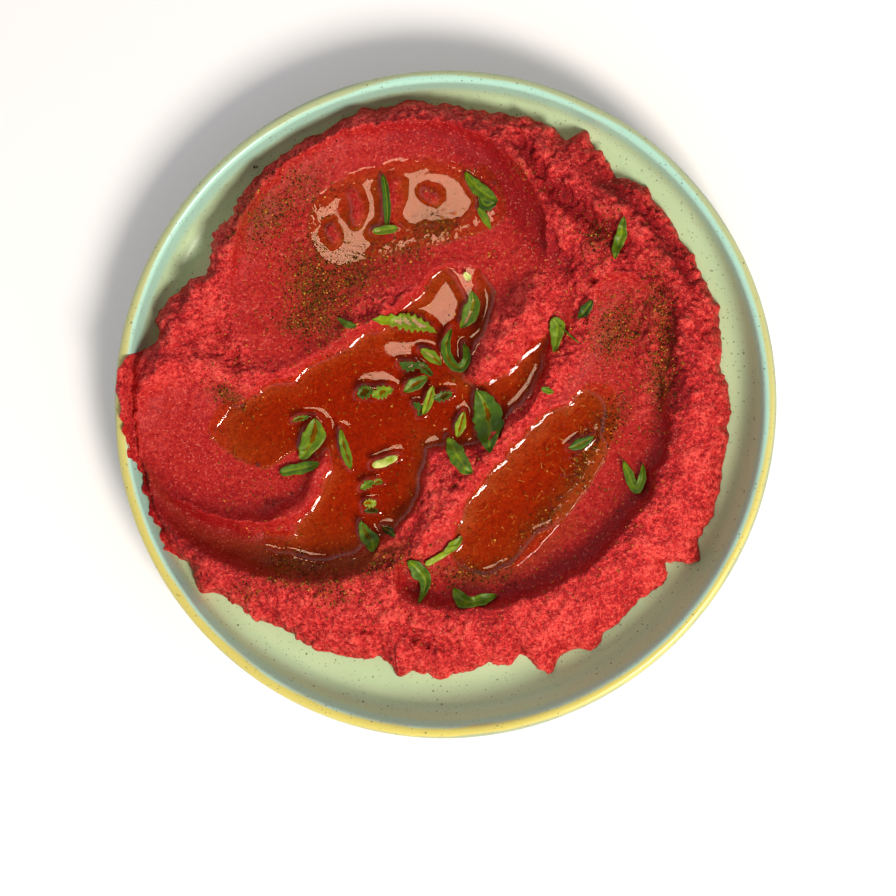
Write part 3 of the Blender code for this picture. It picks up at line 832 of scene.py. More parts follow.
@dataclass(frozen=True)
class ChilliOil:
    """Olive oil steeped with paprika: a clear liquid that mirrors sharply and turns from
    pale amber at the shore to deep orange-red where it is deep."""

    shallow: str = "#fff0d8"
    deep: str = "#ffb870"
    ior: float = 1.47

    def build(self) -> bpy.types.Material:
        """Make the oil: tinted light through it, and a mirror's share of light by Fresnel."""
        material, tree = start_material("chilli_oil")
        depth = add_node(tree, "Attribute", {"attribute_name": "depth"}).outputs["Fac"]
        tint = add_node(tree, "ValToRGB", {"ramp": [
            (0.0, self.shallow), (1.0, self.deep)]}, {"Fac": depth}).outputs["Color"]
        clear = add_node(tree, "BsdfTransparent", inputs={"Color": tint})
        gloss = add_node(tree, "BsdfGlossy", inputs={"Roughness": 0.03})
        share = add_node(tree, "Fresnel", inputs={"IOR": self.ior}).outputs["Fac"]
        # light on its way out passes unmirrored
        inside = add_node(tree, "NewGeometry").outputs["Backfacing"]
        outside = add_node(tree, "Math", {"operation": "SUBTRACT"}, {0: 1.0, 1: inside})
        share = add_node(tree, "Math", {"operation": "MULTIPLY"},
                         {0: share, 1: outside.outputs[0]}).outputs[0]
        surface = add_node(tree, "MixShader", inputs={0: share})
        tree.links.new(clear.outputs["BSDF"], surface.inputs[1])
        tree.links.new(gloss.outputs["BSDF"], surface.inputs[2])
        add_node(tree, "OutputMaterial", inputs={"Surface": surface.outputs["Shader"]})
        return material


@dataclass(frozen=True)
class FreshHerb:
    """Torn basil and parsley: waxy green leaf, clouded darker and paler, and paler on the
    midrib."""

    dark: str = "#1a3202"
    green: str = "#3f5e02"
    light: str = "#7f9408"
    pale: str = "#cdd07e"

    def build(self) -> bpy.types.Material:
        """Make the leaf from the point values tint and rib."""
        material, tree = start_material("fresh_herb_leaf")
        place = add_node(tree, "TexCoord").outputs["Object"]
        tint = add_node(tree, "Attribute", {"attribute_name": "tint"}).outputs["Fac"]
        rib = add_node(tree, "Attribute", {"attribute_name": "rib"}).outputs["Fac"]
        cloud = add_node(tree, "TexNoise", inputs={"Vector": place, "Scale": 500.0,
                                                   "Detail": 3.0}).outputs["Fac"]
        level = add_node(tree, "Math", {"operation": "MULTIPLY_ADD"},
                         {0: cloud, 1: 0.5, 2: -0.25}).outputs[0]
        level = add_node(tree, "Math", {"operation": "ADD"}, {0: level, 1: tint}).outputs[0]
        colour = add_node(tree, "ValToRGB", {"ramp": [
            (0.0, self.dark), (0.4, self.green), (0.75, self.light), (1.0, self.pale)]},
            {"Fac": level}).outputs["Color"]
        colour = mix_colours(tree, rib, colour, linear(self.light))
        bump = add_node(tree, "Bump", inputs={"Strength": 0.5, "Distance": 0.00012,
                                              "Height": cloud}).outputs["Normal"]
        shader = add_node(tree, "BsdfPrincipled", inputs={
            "Base Color": colour, "Roughness": 0.45, "Normal": bump,
            "Specular IOR Level": 0.3})
        add_node(tree, "OutputMaterial", inputs={"Surface": shader.outputs["BSDF"]})
        return material


@dataclass(frozen=True)
class GroundSpice:
    """Ground cumin, sumac and crushed chilli: dry grains from dark brown over olive to
    orange and straw."""

    def build(self) -> bpy.types.Material:
        """Make the grains from the point value tint."""
        material, tree = start_material("ground_spice")
        tint = add_node(tree, "Attribute", {"attribute_name": "tint"}).outputs["Fac"]
        colour = add_node(tree, "ValToRGB", {"ramp": [
            (0.0, "#2e1605"), (0.35, "#5a3a0a"), (0.6, "#75600f"), (0.8, "#a85a12"),
            (1.0, "#d9a040")]}, {"Fac": tint}).outputs["Color"]
        shader = add_node(tree, "BsdfPrincipled", inputs={
            "Base Color": colour, "Roughness": 0.6, "Specular IOR Level": 0.1})
        add_node(tree, "OutputMaterial", inputs={"Surface": shader.outputs["BSDF"]})
        return material


# ---------------------------------------------------------------- sub-assemblies


@dataclass
class Plate:
    """The walled plate as one turned surface."""

    section: PlateSection
    steps: int = 360
    lip_steps: int = 18
    fillet_steps: int = 5

    def outline(self) -> np.ndarray:
        """The whole section from the axis underneath, round the lip, to the axis on top:
        smooth curves through the outside's and the inside's points, and half a circle."""
        s = self.section
        angles = np.linspace(0.0, math.pi, self.lip_steps + 1)[1:-1]
        lip = np.stack([s.lip_middle + s.lip_round * np.cos(angles),
                        s.lip_base + s.lip_round * np.sin(angles)], axis=1)
        foot = np.array(s.outside[:4])
        side = smooth_path(s.outside[3:], self.fillet_steps)
        wall = smooth_path(s.inside[::-1][:-1], self.fillet_steps)
        floor = np.array([(40.0, s.floor), (10.0, s.floor)])
        under = np.array([(10.0, s.outside[0][1]), (40.0, s.outside[0][1])])
        return np.vstack([under, foot[:-1], side, lip, wall, floor])

    def build(self, material: bpy.types.Material) -> bpy.types.Object:
        """Turn the outline about the axis and close it with a point above and below."""
        outline = self.outline()
        angle = np.linspace(0.0, 2.0 * math.pi, self.steps, endpoint=False)
        radius = outline[:, 0:1]
        rings = np.stack([radius * np.cos(angle), radius * np.sin(angle),
                          np.broadcast_to(outline[:, 1:2], (len(outline), self.steps))], axis=-1)
        count = len(outline) * self.steps
        poles = np.array([(0.0, 0.0, self.section.outside[0][1]), (0.0, 0.0, self.section.floor)])
        points = np.vstack([rings.reshape(-1, 3), poles])
        first = np.arange(self.steps)
        after = (first + 1) % self.steps
        last = count - self.steps + first
        last_after = count - self.steps + after
        faces = [grid_faces(len(outline), self.steps, wrap=True),
                 np.stack([after, first, np.full(self.steps, count)], axis=1),
                 np.stack([last, last_after, np.full(self.steps, count + 1)], axis=1)]
        piece = build_mesh("stoneware_plate", points, faces, material)
        settle(piece, "glaze", "plate_base", "plate_wall")
        return piece


@dataclass(frozen=True)
class SpicePatch:
    """A place where ground spice lies: an ellipse, turned, with how thickly it lies."""

    x: float
    y: float
    length: float
    width: float
    turn: float
    amount: float

    def amount_at(self, x: np.ndarray, y: np.ndarray) -> np.ndarray:
        """The amount times a bell over the ellipse."""
        turn = math.radians(self.turn)
        along = (x - self.x) * math.cos(turn) + (y - self.y) * math.sin(turn)
        across = -(x - self.x) * math.sin(turn) + (y - self.y) * math.cos(turn)
        return self.amount * np.exp(-(along / self.length) ** 2 - (across / self.width) ** 2)


SPICE_PATCHES = (
    SpicePatch(-60, 62, 10, 6, 50, 0.8), SpicePatch(-47, 72, 8, 6, 40, 0.5),
    SpicePatch(-43, 38, 14, 7, 110, 0.9), SpicePatch(-30, 43, 9, 7, 30, 0.7),
    SpicePatch(-15, 51, 7, 4, 0, 0.6), SpicePatch(-3, 58, 6, 4, 0, 0.9),
    SpicePatch(-48, 27, 7, 4, 0, 0.7), SpicePatch(-72, 3, 6, 3, -30, 0.9),
    SpicePatch(-52, -53, 6, 3, 0, 0.8), SpicePatch(-64, -61, 4, 3, 0, 0.4),
    SpicePatch(-35, -63, 5, 3, 0, 0.5), SpicePatch(-42, -57, 10, 3, 0, 0.6),
    SpicePatch(-18, -53, 9, 3, 12, 0.5), SpicePatch(72, 27, 14, 3.5, 97, 0.9),
    SpicePatch(71, 8, 9, 4, 90, 0.9), SpicePatch(56, 24, 9, 6, 60, 0.8),
    SpicePatch(51, 55, 6, 4, 80, 0.7), SpicePatch(25, 77, 4, 3, 0, 0.3),
    SpicePatch(55, -5, 8, 4, 60, 0.7), SpicePatch(45, -20, 9, 3, 65, 0.5),
    SpicePatch(32, -38, 9, 3, 50, 0.4), SpicePatch(8, -56, 9, 3, 0, 0.7),
)


# Where oil has seeped along the foot of a stroke. Each row is x, y, half width, amount.
SEEPS: tuple[Path, ...] = (
    ((-99, -20, 2.0, 0.2), (-86, -39, 3.0, 0.3), (-70, -47, 4.0, 0.55), (-56, -50, 5.5, 0.95),
     (-42, -52, 5.0, 1.0), (-28, -51.5, 4.0, 0.9), (-14, -47, 2.5, 0.5)),
    ((10, -57, 3.0, 0.5), (24, -54, 3.0, 0.4), (42, -40, 3.0, 0.3)),
)

# Painted shade along the walls of the strokes and in the grooves, where they turn from the light: a darker paste
# colour, in the same form.
PAINTED_SHADE_PATHS: tuple[Path, ...] = (
    ((-20, 90, 3.0, 0.2), (0, 88, 4.5, 0.4), (14, 80, 6.0, 0.55), (22, 69, 6.0, 0.55),
     (30, 57, 5.0, 0.50), (38, 47, 4.0, 0.45), (47, 42, 3.0, 0.3)),
    ((73, 34, 3.5, 0.25), (77, 18, 4.0, 0.40), (77, 4, 4.0, 0.45), (73, -13, 4.0, 0.45),
     (66, -28, 4.0, 0.45), (55, -43, 4.0, 0.42), (40, -54, 4.0, 0.42), (22, -62, 4.0, 0.38),
     (6, -67, 3.5, 0.36), (-12, -61, 3.0, 0.30)),
    ((-100, -22, 3.5, 0.4), (-91, -33, 5.0, 0.65), (-80, -42, 5.5, 0.75), (-66, -48, 6.0, 0.8),
     (-50, -53, 5.5, 0.7), (-34, -55, 4.5, 0.5), (-18, -52, 3.0, 0.3)),
    ((27, 84, 3.0, 0.4), (35, 72, 3.2, 0.6), (46, 62, 3.2, 0.6), (60, 51, 3.0, 0.5)),
    ((48, 79, 2.2, 0.3), (62, 66, 2.4, 0.5), (73, 54, 2.4, 0.5), (82, 38, 2.2, 0.4)),
)


@dataclass
class Hummus:
    """The mound of hummus: a disc of height field, closed underneath inside the plate."""

    shape: HummusShape
    cells: int = 296
    face_arc: float = 16.0
    sunk: float = 0.3
    cover: float = 0.8
    wall_foot: float = 101.0
    under_rings: tuple[float, ...] = (0.985, 0.96, 0.92, 0.85)

    def disc(self) -> tuple[np.ndarray, np.ndarray]:
        """A square grid drawn out into a disc: each square ring becomes a circle. Towards the
        edge the circles bunch up as 1 - cos, to follow the upright outer face."""
        side = np.linspace(-1.0, 1.0, self.cells + 1)
        across, up = np.meshgrid(side, side)
        wide = np.abs(across) >= np.abs(up)
        reach = np.where(wide, across, up)
        other = np.where(wide, up, across)
        turn = 0.25 * math.pi * other / np.where(reach == 0.0, 1.0, reach)
        cosine = reach * np.cos(turn)
        sine = reach * np.sin(turn)
        x = np.where(wide, cosine, sine)
        y = np.where(wide, sine, cosine)
        angle = np.arctan2(y, x)
        edge = self.shape.edge_radius(angle)
        width = self.shape.edge_width / self.shape.edge_scale
        arc = (1.0 - np.hypot(x, y)) * (edge - width + self.face_arc)
        bent = width * (1.0 - np.cos(np.clip(arc / self.face_arc, 0.0, 1.0) * 0.5 * math.pi))
        radius = np.maximum(edge - np.where(arc < self.face_arc, bent,
                                            width + arc - self.face_arc), 0.0)
        return radius * np.cos(angle), radius * np.sin(angle)

    def underside(self, rim: np.ndarray) -> np.ndarray:
        """Rings of points that follow the plate just below its upper face, and their centre.

        Args:
            rim: the points on the rim, in order.

        Returns:
            The points, ring by ring, and last the centre.
        """
        plate = self.shape.plate
        share = np.array(self.under_rings)[:, None]
        x = share * rim[:, 0]
        y = share * rim[:, 1]
        z = np.minimum(plate.top(np.hypot(x, y)), rim[:, 2] + self.sunk) - self.sunk
        rings = np.stack([x, y, z], axis=-1).reshape(-1, 3)
        return np.vstack([rings, [(0.0, 0.0, plate.floor - self.sunk)]])

    def build(self, material: bpy.types.Material,
              pools: list[OilPool]) -> bpy.types.Object:
        """Raise the disc, roughen it along its normals and close it.

        Args:
            material: the paste.
            pools: the pools, which soak the paste under them.

        Returns:
            The hummus.
        """
        x, y = self.disc()
        height, swept, streak = self.shape.top(x, y)
        points = np.stack([x, y, height], axis=-1)
        normal = np.cross(np.gradient(points, axis=1), np.gradient(points, axis=0))
        normal /= np.maximum(np.linalg.norm(normal, axis=-1, keepdims=True), 1e-9)
        rim = np.ones(x.shape, bool)
        rim[1:-1, 1:-1] = False
        fade = np.clip((self.shape.edge_radius(np.arctan2(y, x)) - np.hypot(x, y)) / 1.0, 0.0, 1.0)
        rough = self.shape.roughness(points, swept, streak)
        # against the upright wall a lump stands up, but not out
        clear = np.clip((self.wall_foot - np.hypot(x, y)) / 3.0, 0.0, 1.0)
        normal[..., :2] *= clear[..., None]
        points += normal * (rough * fade)[..., None]
        floor = self.shape.plate.top(np.hypot(points[..., 0], points[..., 1]))
        least = floor - self.sunk + (self.sunk + self.cover) * fade
        points[..., 2] = np.where(rim, floor - self.sunk, np.maximum(points[..., 2], least))
        spice = np.zeros(x.shape)
        for patch in SPICE_PATCHES:
            spice = np.maximum(spice, patch.amount_at(*self.shape.unplaced(x, y)))
        soaked = np.zeros(x.shape)
        for pool in pools:
            soaked = np.maximum(soaked, pool.wetness(x, y, height))
        for path in SEEPS:
            soaked = np.maximum(soaked, self.shape.amount_along(x, y, path))
        # painted shade along the strokes' walls and grooves, taken off the relief value below
        painted_shade = np.zeros(x.shape)
        for path in PAINTED_SHADE_PATHS:
            painted_shade = np.maximum(painted_shade, self.shape.amount_along(x, y, path))
        row = self.cells + 1
        place = np.arange(row * row).reshape(row, row)
        ring = np.concatenate([place[0, :-1], place[:-1, -1], place[-1, :0:-1],
                               place[:0:-1, 0]])
        flat = points.reshape(-1, 3)
        below = self.underside(flat[ring])
        count = len(flat)
        band = np.stack([ring, np.roll(ring, -1), np.roll(np.arange(len(ring)), -1) + count,
                         np.arange(len(ring)) + count], axis=1)[:, ::-1]
        rings = grid_faces(len(self.under_rings), len(ring), wrap=True, start=count)[:, ::-1]
        last = np.arange(len(ring)) + count + (len(self.under_rings) - 1) * len(ring)
        fan = np.stack([np.roll(last, -1), last,
                        np.full(len(ring), count + len(below) - 1)], axis=1)
        # the relief value: painted light on the clods, painted shade in the creases, less the painted shade along
        # the strokes' walls
        raised = np.clip(0.5 + 0.2 * rough - painted_shade, 0.0, 1.0)
        values = {"swept": swept, "raised": raised, "spice": spice, "soaked": soaked}
        values = {label: np.append(value.ravel(), np.zeros(len(below)))
                  for label, value in values.items()}
        piece = build_mesh("hummus_mound", np.vstack([flat, below]),
                           [grid_faces(row, row), band, rings, fan], material, values)
        settle(piece, "hummus", "hummus")
        return piece


@dataclass
class OilPool:
    """Oil in one hollow: flat at its level, and drawn up a little where it meets the shore
    and the leaves that lie in it."""

    name: str
    node: str
    level: float
    shore: Path
    shape: HummusShape
    stain: float = 1.0
    spacing: float = 0.45
    film: float = 0.12
    creep: float = 0.40
    climb: float = 1.0
    grip: float = 0.2
    fall: float = 1.15
    rounds: int = 60
    full_depth: float = 2.2
    leaf_rise: float = 0.7
    wave: float = 0.015
    waves: Noise = field(default_factory=lambda: Noise(21))

    def loop(self) -> np.ndarray:
        """The closed line round the hollow, as rows of x and y."""
        return self.shape.placed(smooth_loop(self.shore, 6))

    def wetness(self, x: np.ndarray, y: np.ndarray, height: np.ndarray) -> np.ndarray:
        """How far the oil has stained the paste: most under it, in clouds, and falling to 0
        over 1 mm of height above it."""
        near = inside_loop(x, y, self.loop())
        cloud = 1.0 + 0.3 * self.waves.at(x, y, 20.0, 9.0) + 0.3 * self.waves.at(x, y, 30.0, 3.5)
        stained = self.stain * np.clip(cloud, 0.0, 1.3)
        return np.where(near, np.clip((1.0 - (height - self.level)) * stained, 0.0, 1.0), 0.0)

    def surface(self, x: np.ndarray, y: np.ndarray, bed: np.ndarray, ground: np.ndarray,
                leaves: list[Leaf]) -> np.ndarray:
        """Height of the oil. It is drawn up by climb where the hummus stands grip above the
        level, and by leaf_rise at the leaves, and between them it sinks to its level as a capillary surface does:
        each point settles to the mean of its neighbours divided by 1 + spacing^2 / (4 * fall^2),
        which falls by e over the length fall. A film that thins as it rises covers the hummus
        just above.

        Args:
            x: places in millimetres.
            y: places in millimetres.
            bed: height of the hummus there without its roughness.
            ground: height of the hummus with it.
            leaves: the leaves that lie about.

        Returns:
            The height.
        """
        held = np.where(bed - self.level >= self.grip, self.climb, 0.0)
        for leaf in leaves:
            beside = leaf.distance(x, y, self.shape) < 0.2
            held = np.where(beside, np.maximum(held, self.leaf_rise), held)
        sunk = 1.0 + self.spacing ** 2 / (4.0 * self.fall ** 2)
        lift = held.copy()
        for _ in range(self.rounds):
            wide = np.pad(lift, 1, mode="edge")
            mean = 0.25 * (wide[:-2, 1:-1] + wide[2:, 1:-1] + wide[1:-1, :-2] + wide[1:-1, 2:])
            lift = np.maximum(mean / sunk, held)
        wave = self.wave * (self.waves.at(x, y, 50.0, 10.0) + 0.4 * self.waves.at(x, y, 80.0, 4.5))
        film = self.film - self.creep * np.maximum(ground - self.level - 0.5 * self.climb, 0.0)
        return higher_of(self.level + wave + lift, ground + film, 0.2)

    def build(self, material: bpy.types.Material, leaves: list[Leaf]) -> bpy.types.Object:
        """Lay a grid over the hollow, keep what the oil covers and close it below.

        Args:
            material: the oil.
            leaves: the leaves that lie about.

        Returns:
            The pool.
        """
        loop = self.loop()
        low = loop.min(axis=0) - 2.0
        high = loop.max(axis=0) + 2.0
        x, y = np.meshgrid(np.arange(low[0], high[0], self.spacing),
                           np.arange(low[1], high[1], self.spacing))
        bed, swept, streak = self.shape.top(x, y)
        ground = bed + self.shape.roughness(np.stack([x, y, bed], axis=-1), swept, streak)
        surface = self.surface(x, y, bed, ground, leaves)
        keep = (surface > ground - 0.3) & inside_loop(x, y, loop)
        cell = keep[:-1, :-1] & keep[1:, :-1] & keep[:-1, 1:] & keep[1:, 1:]
        rows, columns = x.shape
        quads = grid_faces(rows, columns).reshape(rows - 1, columns - 1, 4)
        top = quads[cell]
        count = rows * columns
        bottom = top[:, ::-1] + count
        walls = []
        padded = np.pad(cell, 1)
        sides = ((0, padded[:-2, 1:-1]), (1, padded[1:-1, 2:]), (2, padded[2:, 1:-1]),
                 (3, padded[1:-1, :-2]))
        for corner, neighbour in sides:
            open_side = quads[cell & ~neighbour]
            start = open_side[:, corner]
            end = open_side[:, (corner + 1) % 4]
            walls.append(np.stack([end, start, start + count, end + count], axis=1))
        under = np.minimum(ground - 0.5, surface - 0.3)
        upper = np.stack([x, y, surface], axis=-1).reshape(-1, 3)
        lower = np.stack([x, y, under], axis=-1).reshape(-1, 3)
        depth = np.clip((surface - ground) / self.full_depth, 0.0, 1.0).ravel()
        used, faces = np.unique(np.vstack([top, bottom] + walls), return_inverse=True)
        faces = faces.reshape(-1, 4)
        points = np.vstack([upper, lower])[used]
        piece = build_mesh(self.name, points, [faces], material,
                           {"depth": np.concatenate([depth, depth])[used]})
        settle(piece, "oil", self.node)
        return piece


def make_pools(shape: HummusShape) -> list[OilPool]:
    """The three pools: the wide one in the middle, the long one to its right and the thin
    puddle in the upper bowl."""
    return [
        OilPool("oil_in_middle", "oil_main_pool", 12.0, (
            (-62, -21), (-50, -15), (-43, -18), (-45, -25), (-48, -31), (-58, -39), (-60, -48),
            (-46, -54), (-26, -53),
            (-11, -38), (-4, -24), (8, -15), (26, -5), (37, 14), (36, 27), (28, 24), (19, 11),
            (11, 13), (17, 26), (19, 41), (5, 49), (-11, 45), (-22, 36), (-37, 25), (-53, 15),
            (-69, 7), (-79, -9)), shape, stain=0.62),
        OilPool("oil_on_right", "oil_right_pool", 12.6, (
            (7, -59), (24, -54), (42, -35), (55, -13), (56, 5), (42, 6), (27, -7), (12, -26),
            (0, -43)), shape),
        OilPool("oil_in_upper_bowl", "oil_top_puddle", 14.0, (
            (-38, 46), (-18, 50), (4, 54), (20, 62), (12, 80), (-14, 86), (-36, 78), (-46, 60)),
            shape, stain=0.6, climb=0.7, grip=0.6, fall=1.0),
    ]


class LeafKind(Enum):
    """What a bit of herb is: its edge's teeth, its thickness, and whether it has a midrib."""

    BASIL = ("basil_leaves", 0.0, 0.35, True)
    PARSLEY = ("parsley_leaves", 0.32, 0.30, False)
    STEM = ("herb_stems", 0.0, 1.0, False)

    def __init__(self, piece: str, teeth: float, thickness: float, midrib: bool) -> None:
        """Name the kind's values."""
        self.piece = piece
        self.teeth = teeth
        self.thickness = thickness
        self.midrib = midrib


@dataclass(frozen=True)
class Leaf:
    """One bit of herb. Each row of its path is a place x, y on its middle line and the half
    width there; the edges curl up and the tips lift, in millimetres."""

    kind: LeafKind
    tint: float
    path: Path
    curl: float = 0.5
    lift: float = 0.3
    steps: int = 7

    def distance(self, x: np.ndarray, y: np.ndarray, shape: HummusShape) -> np.ndarray:
        """Distance from the leaf's outline, below 0 inside it."""
        rows = shape.placed(smooth_path(self.path, 3))
        best = np.full(x.shape, 1000.0)
        for start, end in zip(rows[:-1], rows[1:]):
            step = end - start
            part = ((x - start[0]) * step[0] + (y - start[1]) * step[1])
            part = np.clip(part / (step[0] ** 2 + step[1] ** 2), 0.0, 1.0)
            away = np.hypot(x - start[0] - part * step[0], y - start[1] - part * step[1])
            best = np.minimum(best, away - start[2] - part * step[2])
        return best


@dataclass
class Herbs:
    """All bits of herb, laid on the hummus and on the oil, one piece for each kind."""

    shape: HummusShape
    pools: list[OilPool]
    leaves: list[Leaf]
    across: int = 9
    wrinkles: Noise = field(default_factory=lambda: Noise(31))

    def ground(self, x: np.ndarray, y: np.ndarray) -> np.ndarray:
        """Height of what a leaf rests on: the hummus, or a pool's level."""
        height = self.shape.finished(x, y)
        for pool in self.pools:
            height = np.where(inside_loop(x, y, pool.loop()), np.maximum(height, pool.level),
                              height)
        return height

    def blade(self, leaf: Leaf) -> tuple[np.ndarray, Attributes]:
        """Points of one blade's upper and lower side. Along the blade (first parameter) runs
        its middle line, and across it (second, -1 to 1) the sides curl up as its square.

        Args:
            leaf: the bit of herb.

        Returns:
            The points, upper side first, as an array of two sides by rows by columns, and
            the point values tint and rib.
        """
        rows = self.shape.placed(smooth_path(leaf.path, leaf.steps))
        count = len(rows)
        run = np.linspace(0.0, 1.0, count)[:, None]
        across = np.linspace(-1.0, 1.0, self.across)[None, :]
        heading = np.gradient(rows[:, :2], axis=0)
        heading /= np.linalg.norm(heading, axis=1, keepdims=True)
        step = (run * count + 0.0 * across, np.sign(across) + 0.0 * run)
        ragged = 0.2 * self.wrinkles.at(step[0], 9.0 * step[1], 40.0 * leaf.tint, 2.5)
        teeth = 1.0 + ragged + leaf.kind.teeth * np.sin(run * count * 1.9 + 3.0 * leaf.tint)
        pinch = np.sqrt(np.clip(1.0 - (2.0 * run - 1.0) ** 8, 0.02, 1.0))
        reach = rows[:, 2:3] * pinch * teeth
        x = rows[:, 0:1] - heading[:, 1:2] * across * reach
        y = rows[:, 1:2] + heading[:, 0:1] * across * reach
        rest = self.ground(x, y)
        middle = np.maximum(rest, np.mean(rest, axis=1, keepdims=True))
        bend = leaf.lift * (2.0 * run - 1.0) ** 2
        wrinkle = 0.35 * self.wrinkles.at(x, y, 10.0 * leaf.tint, 3.0)
        half = 0.5 * leaf.kind.thickness
        z = middle + half + 0.25 + leaf.curl * np.abs(across) ** 1.4 + bend + wrinkle
        rib = np.exp(-(across / 0.13) ** 2) * np.ones_like(run)
        if leaf.kind.midrib:
            side = np.abs(np.sin(run * count * 0.9 + 2.2 * np.abs(across)))
            z = z - 0.25 * rib + 0.12 * side
        thick = half * np.sqrt(np.clip(1.0 - across ** 2, 0.0, 1.0)) + 0.03
        upper = np.stack([x, y, z + thick], axis=-1)
        lower = np.stack([x, y, z - thick], axis=-1)
        tint = np.full((2, count, self.across), leaf.tint) + 0.08 * wrinkle
        shown = rib * (0.7 if leaf.kind.midrib else 0.0)
        return np.stack([upper, lower]), {"tint": tint, "rib": np.stack([shown, shown])}

    def build(self, material: bpy.types.Material) -> None:
        """Make one piece of every kind of herb.

        Args:
            material: the leaf's finish.
        """
        for kind in LeafKind:
            points, faces, tints, ribs = [], [], [], []
            start = 0
            for leaf in [one for one in self.leaves if one.kind is kind]:
                sides, values = self.blade(leaf)
                rows = sides.shape[1]
                size = rows * self.across
                faces.append(grid_faces(rows, self.across, start=start)[:, ::-1])
                faces.append(grid_faces(rows, self.across, start=start + size))
                place = np.arange(size).reshape(rows, self.across) + start
                rim = np.concatenate([place[0, :-1], place[:-1, -1], place[-1, :0:-1],
                                      place[:0:-1, 0]])
                after = np.roll(rim, -1)
                faces.append(np.stack([rim, after, after + size, rim + size], axis=1))
                points.append(sides.reshape(-1, 3))
                tints.append(values["tint"].ravel())
                ribs.append(values["rib"].ravel())
                start += 2 * size
            piece = build_mesh(kind.piece, np.vstack(points), faces, material,
                               {"tint": np.concatenate(tints), "rib": np.concatenate(ribs)})
            settle(piece, "herb")


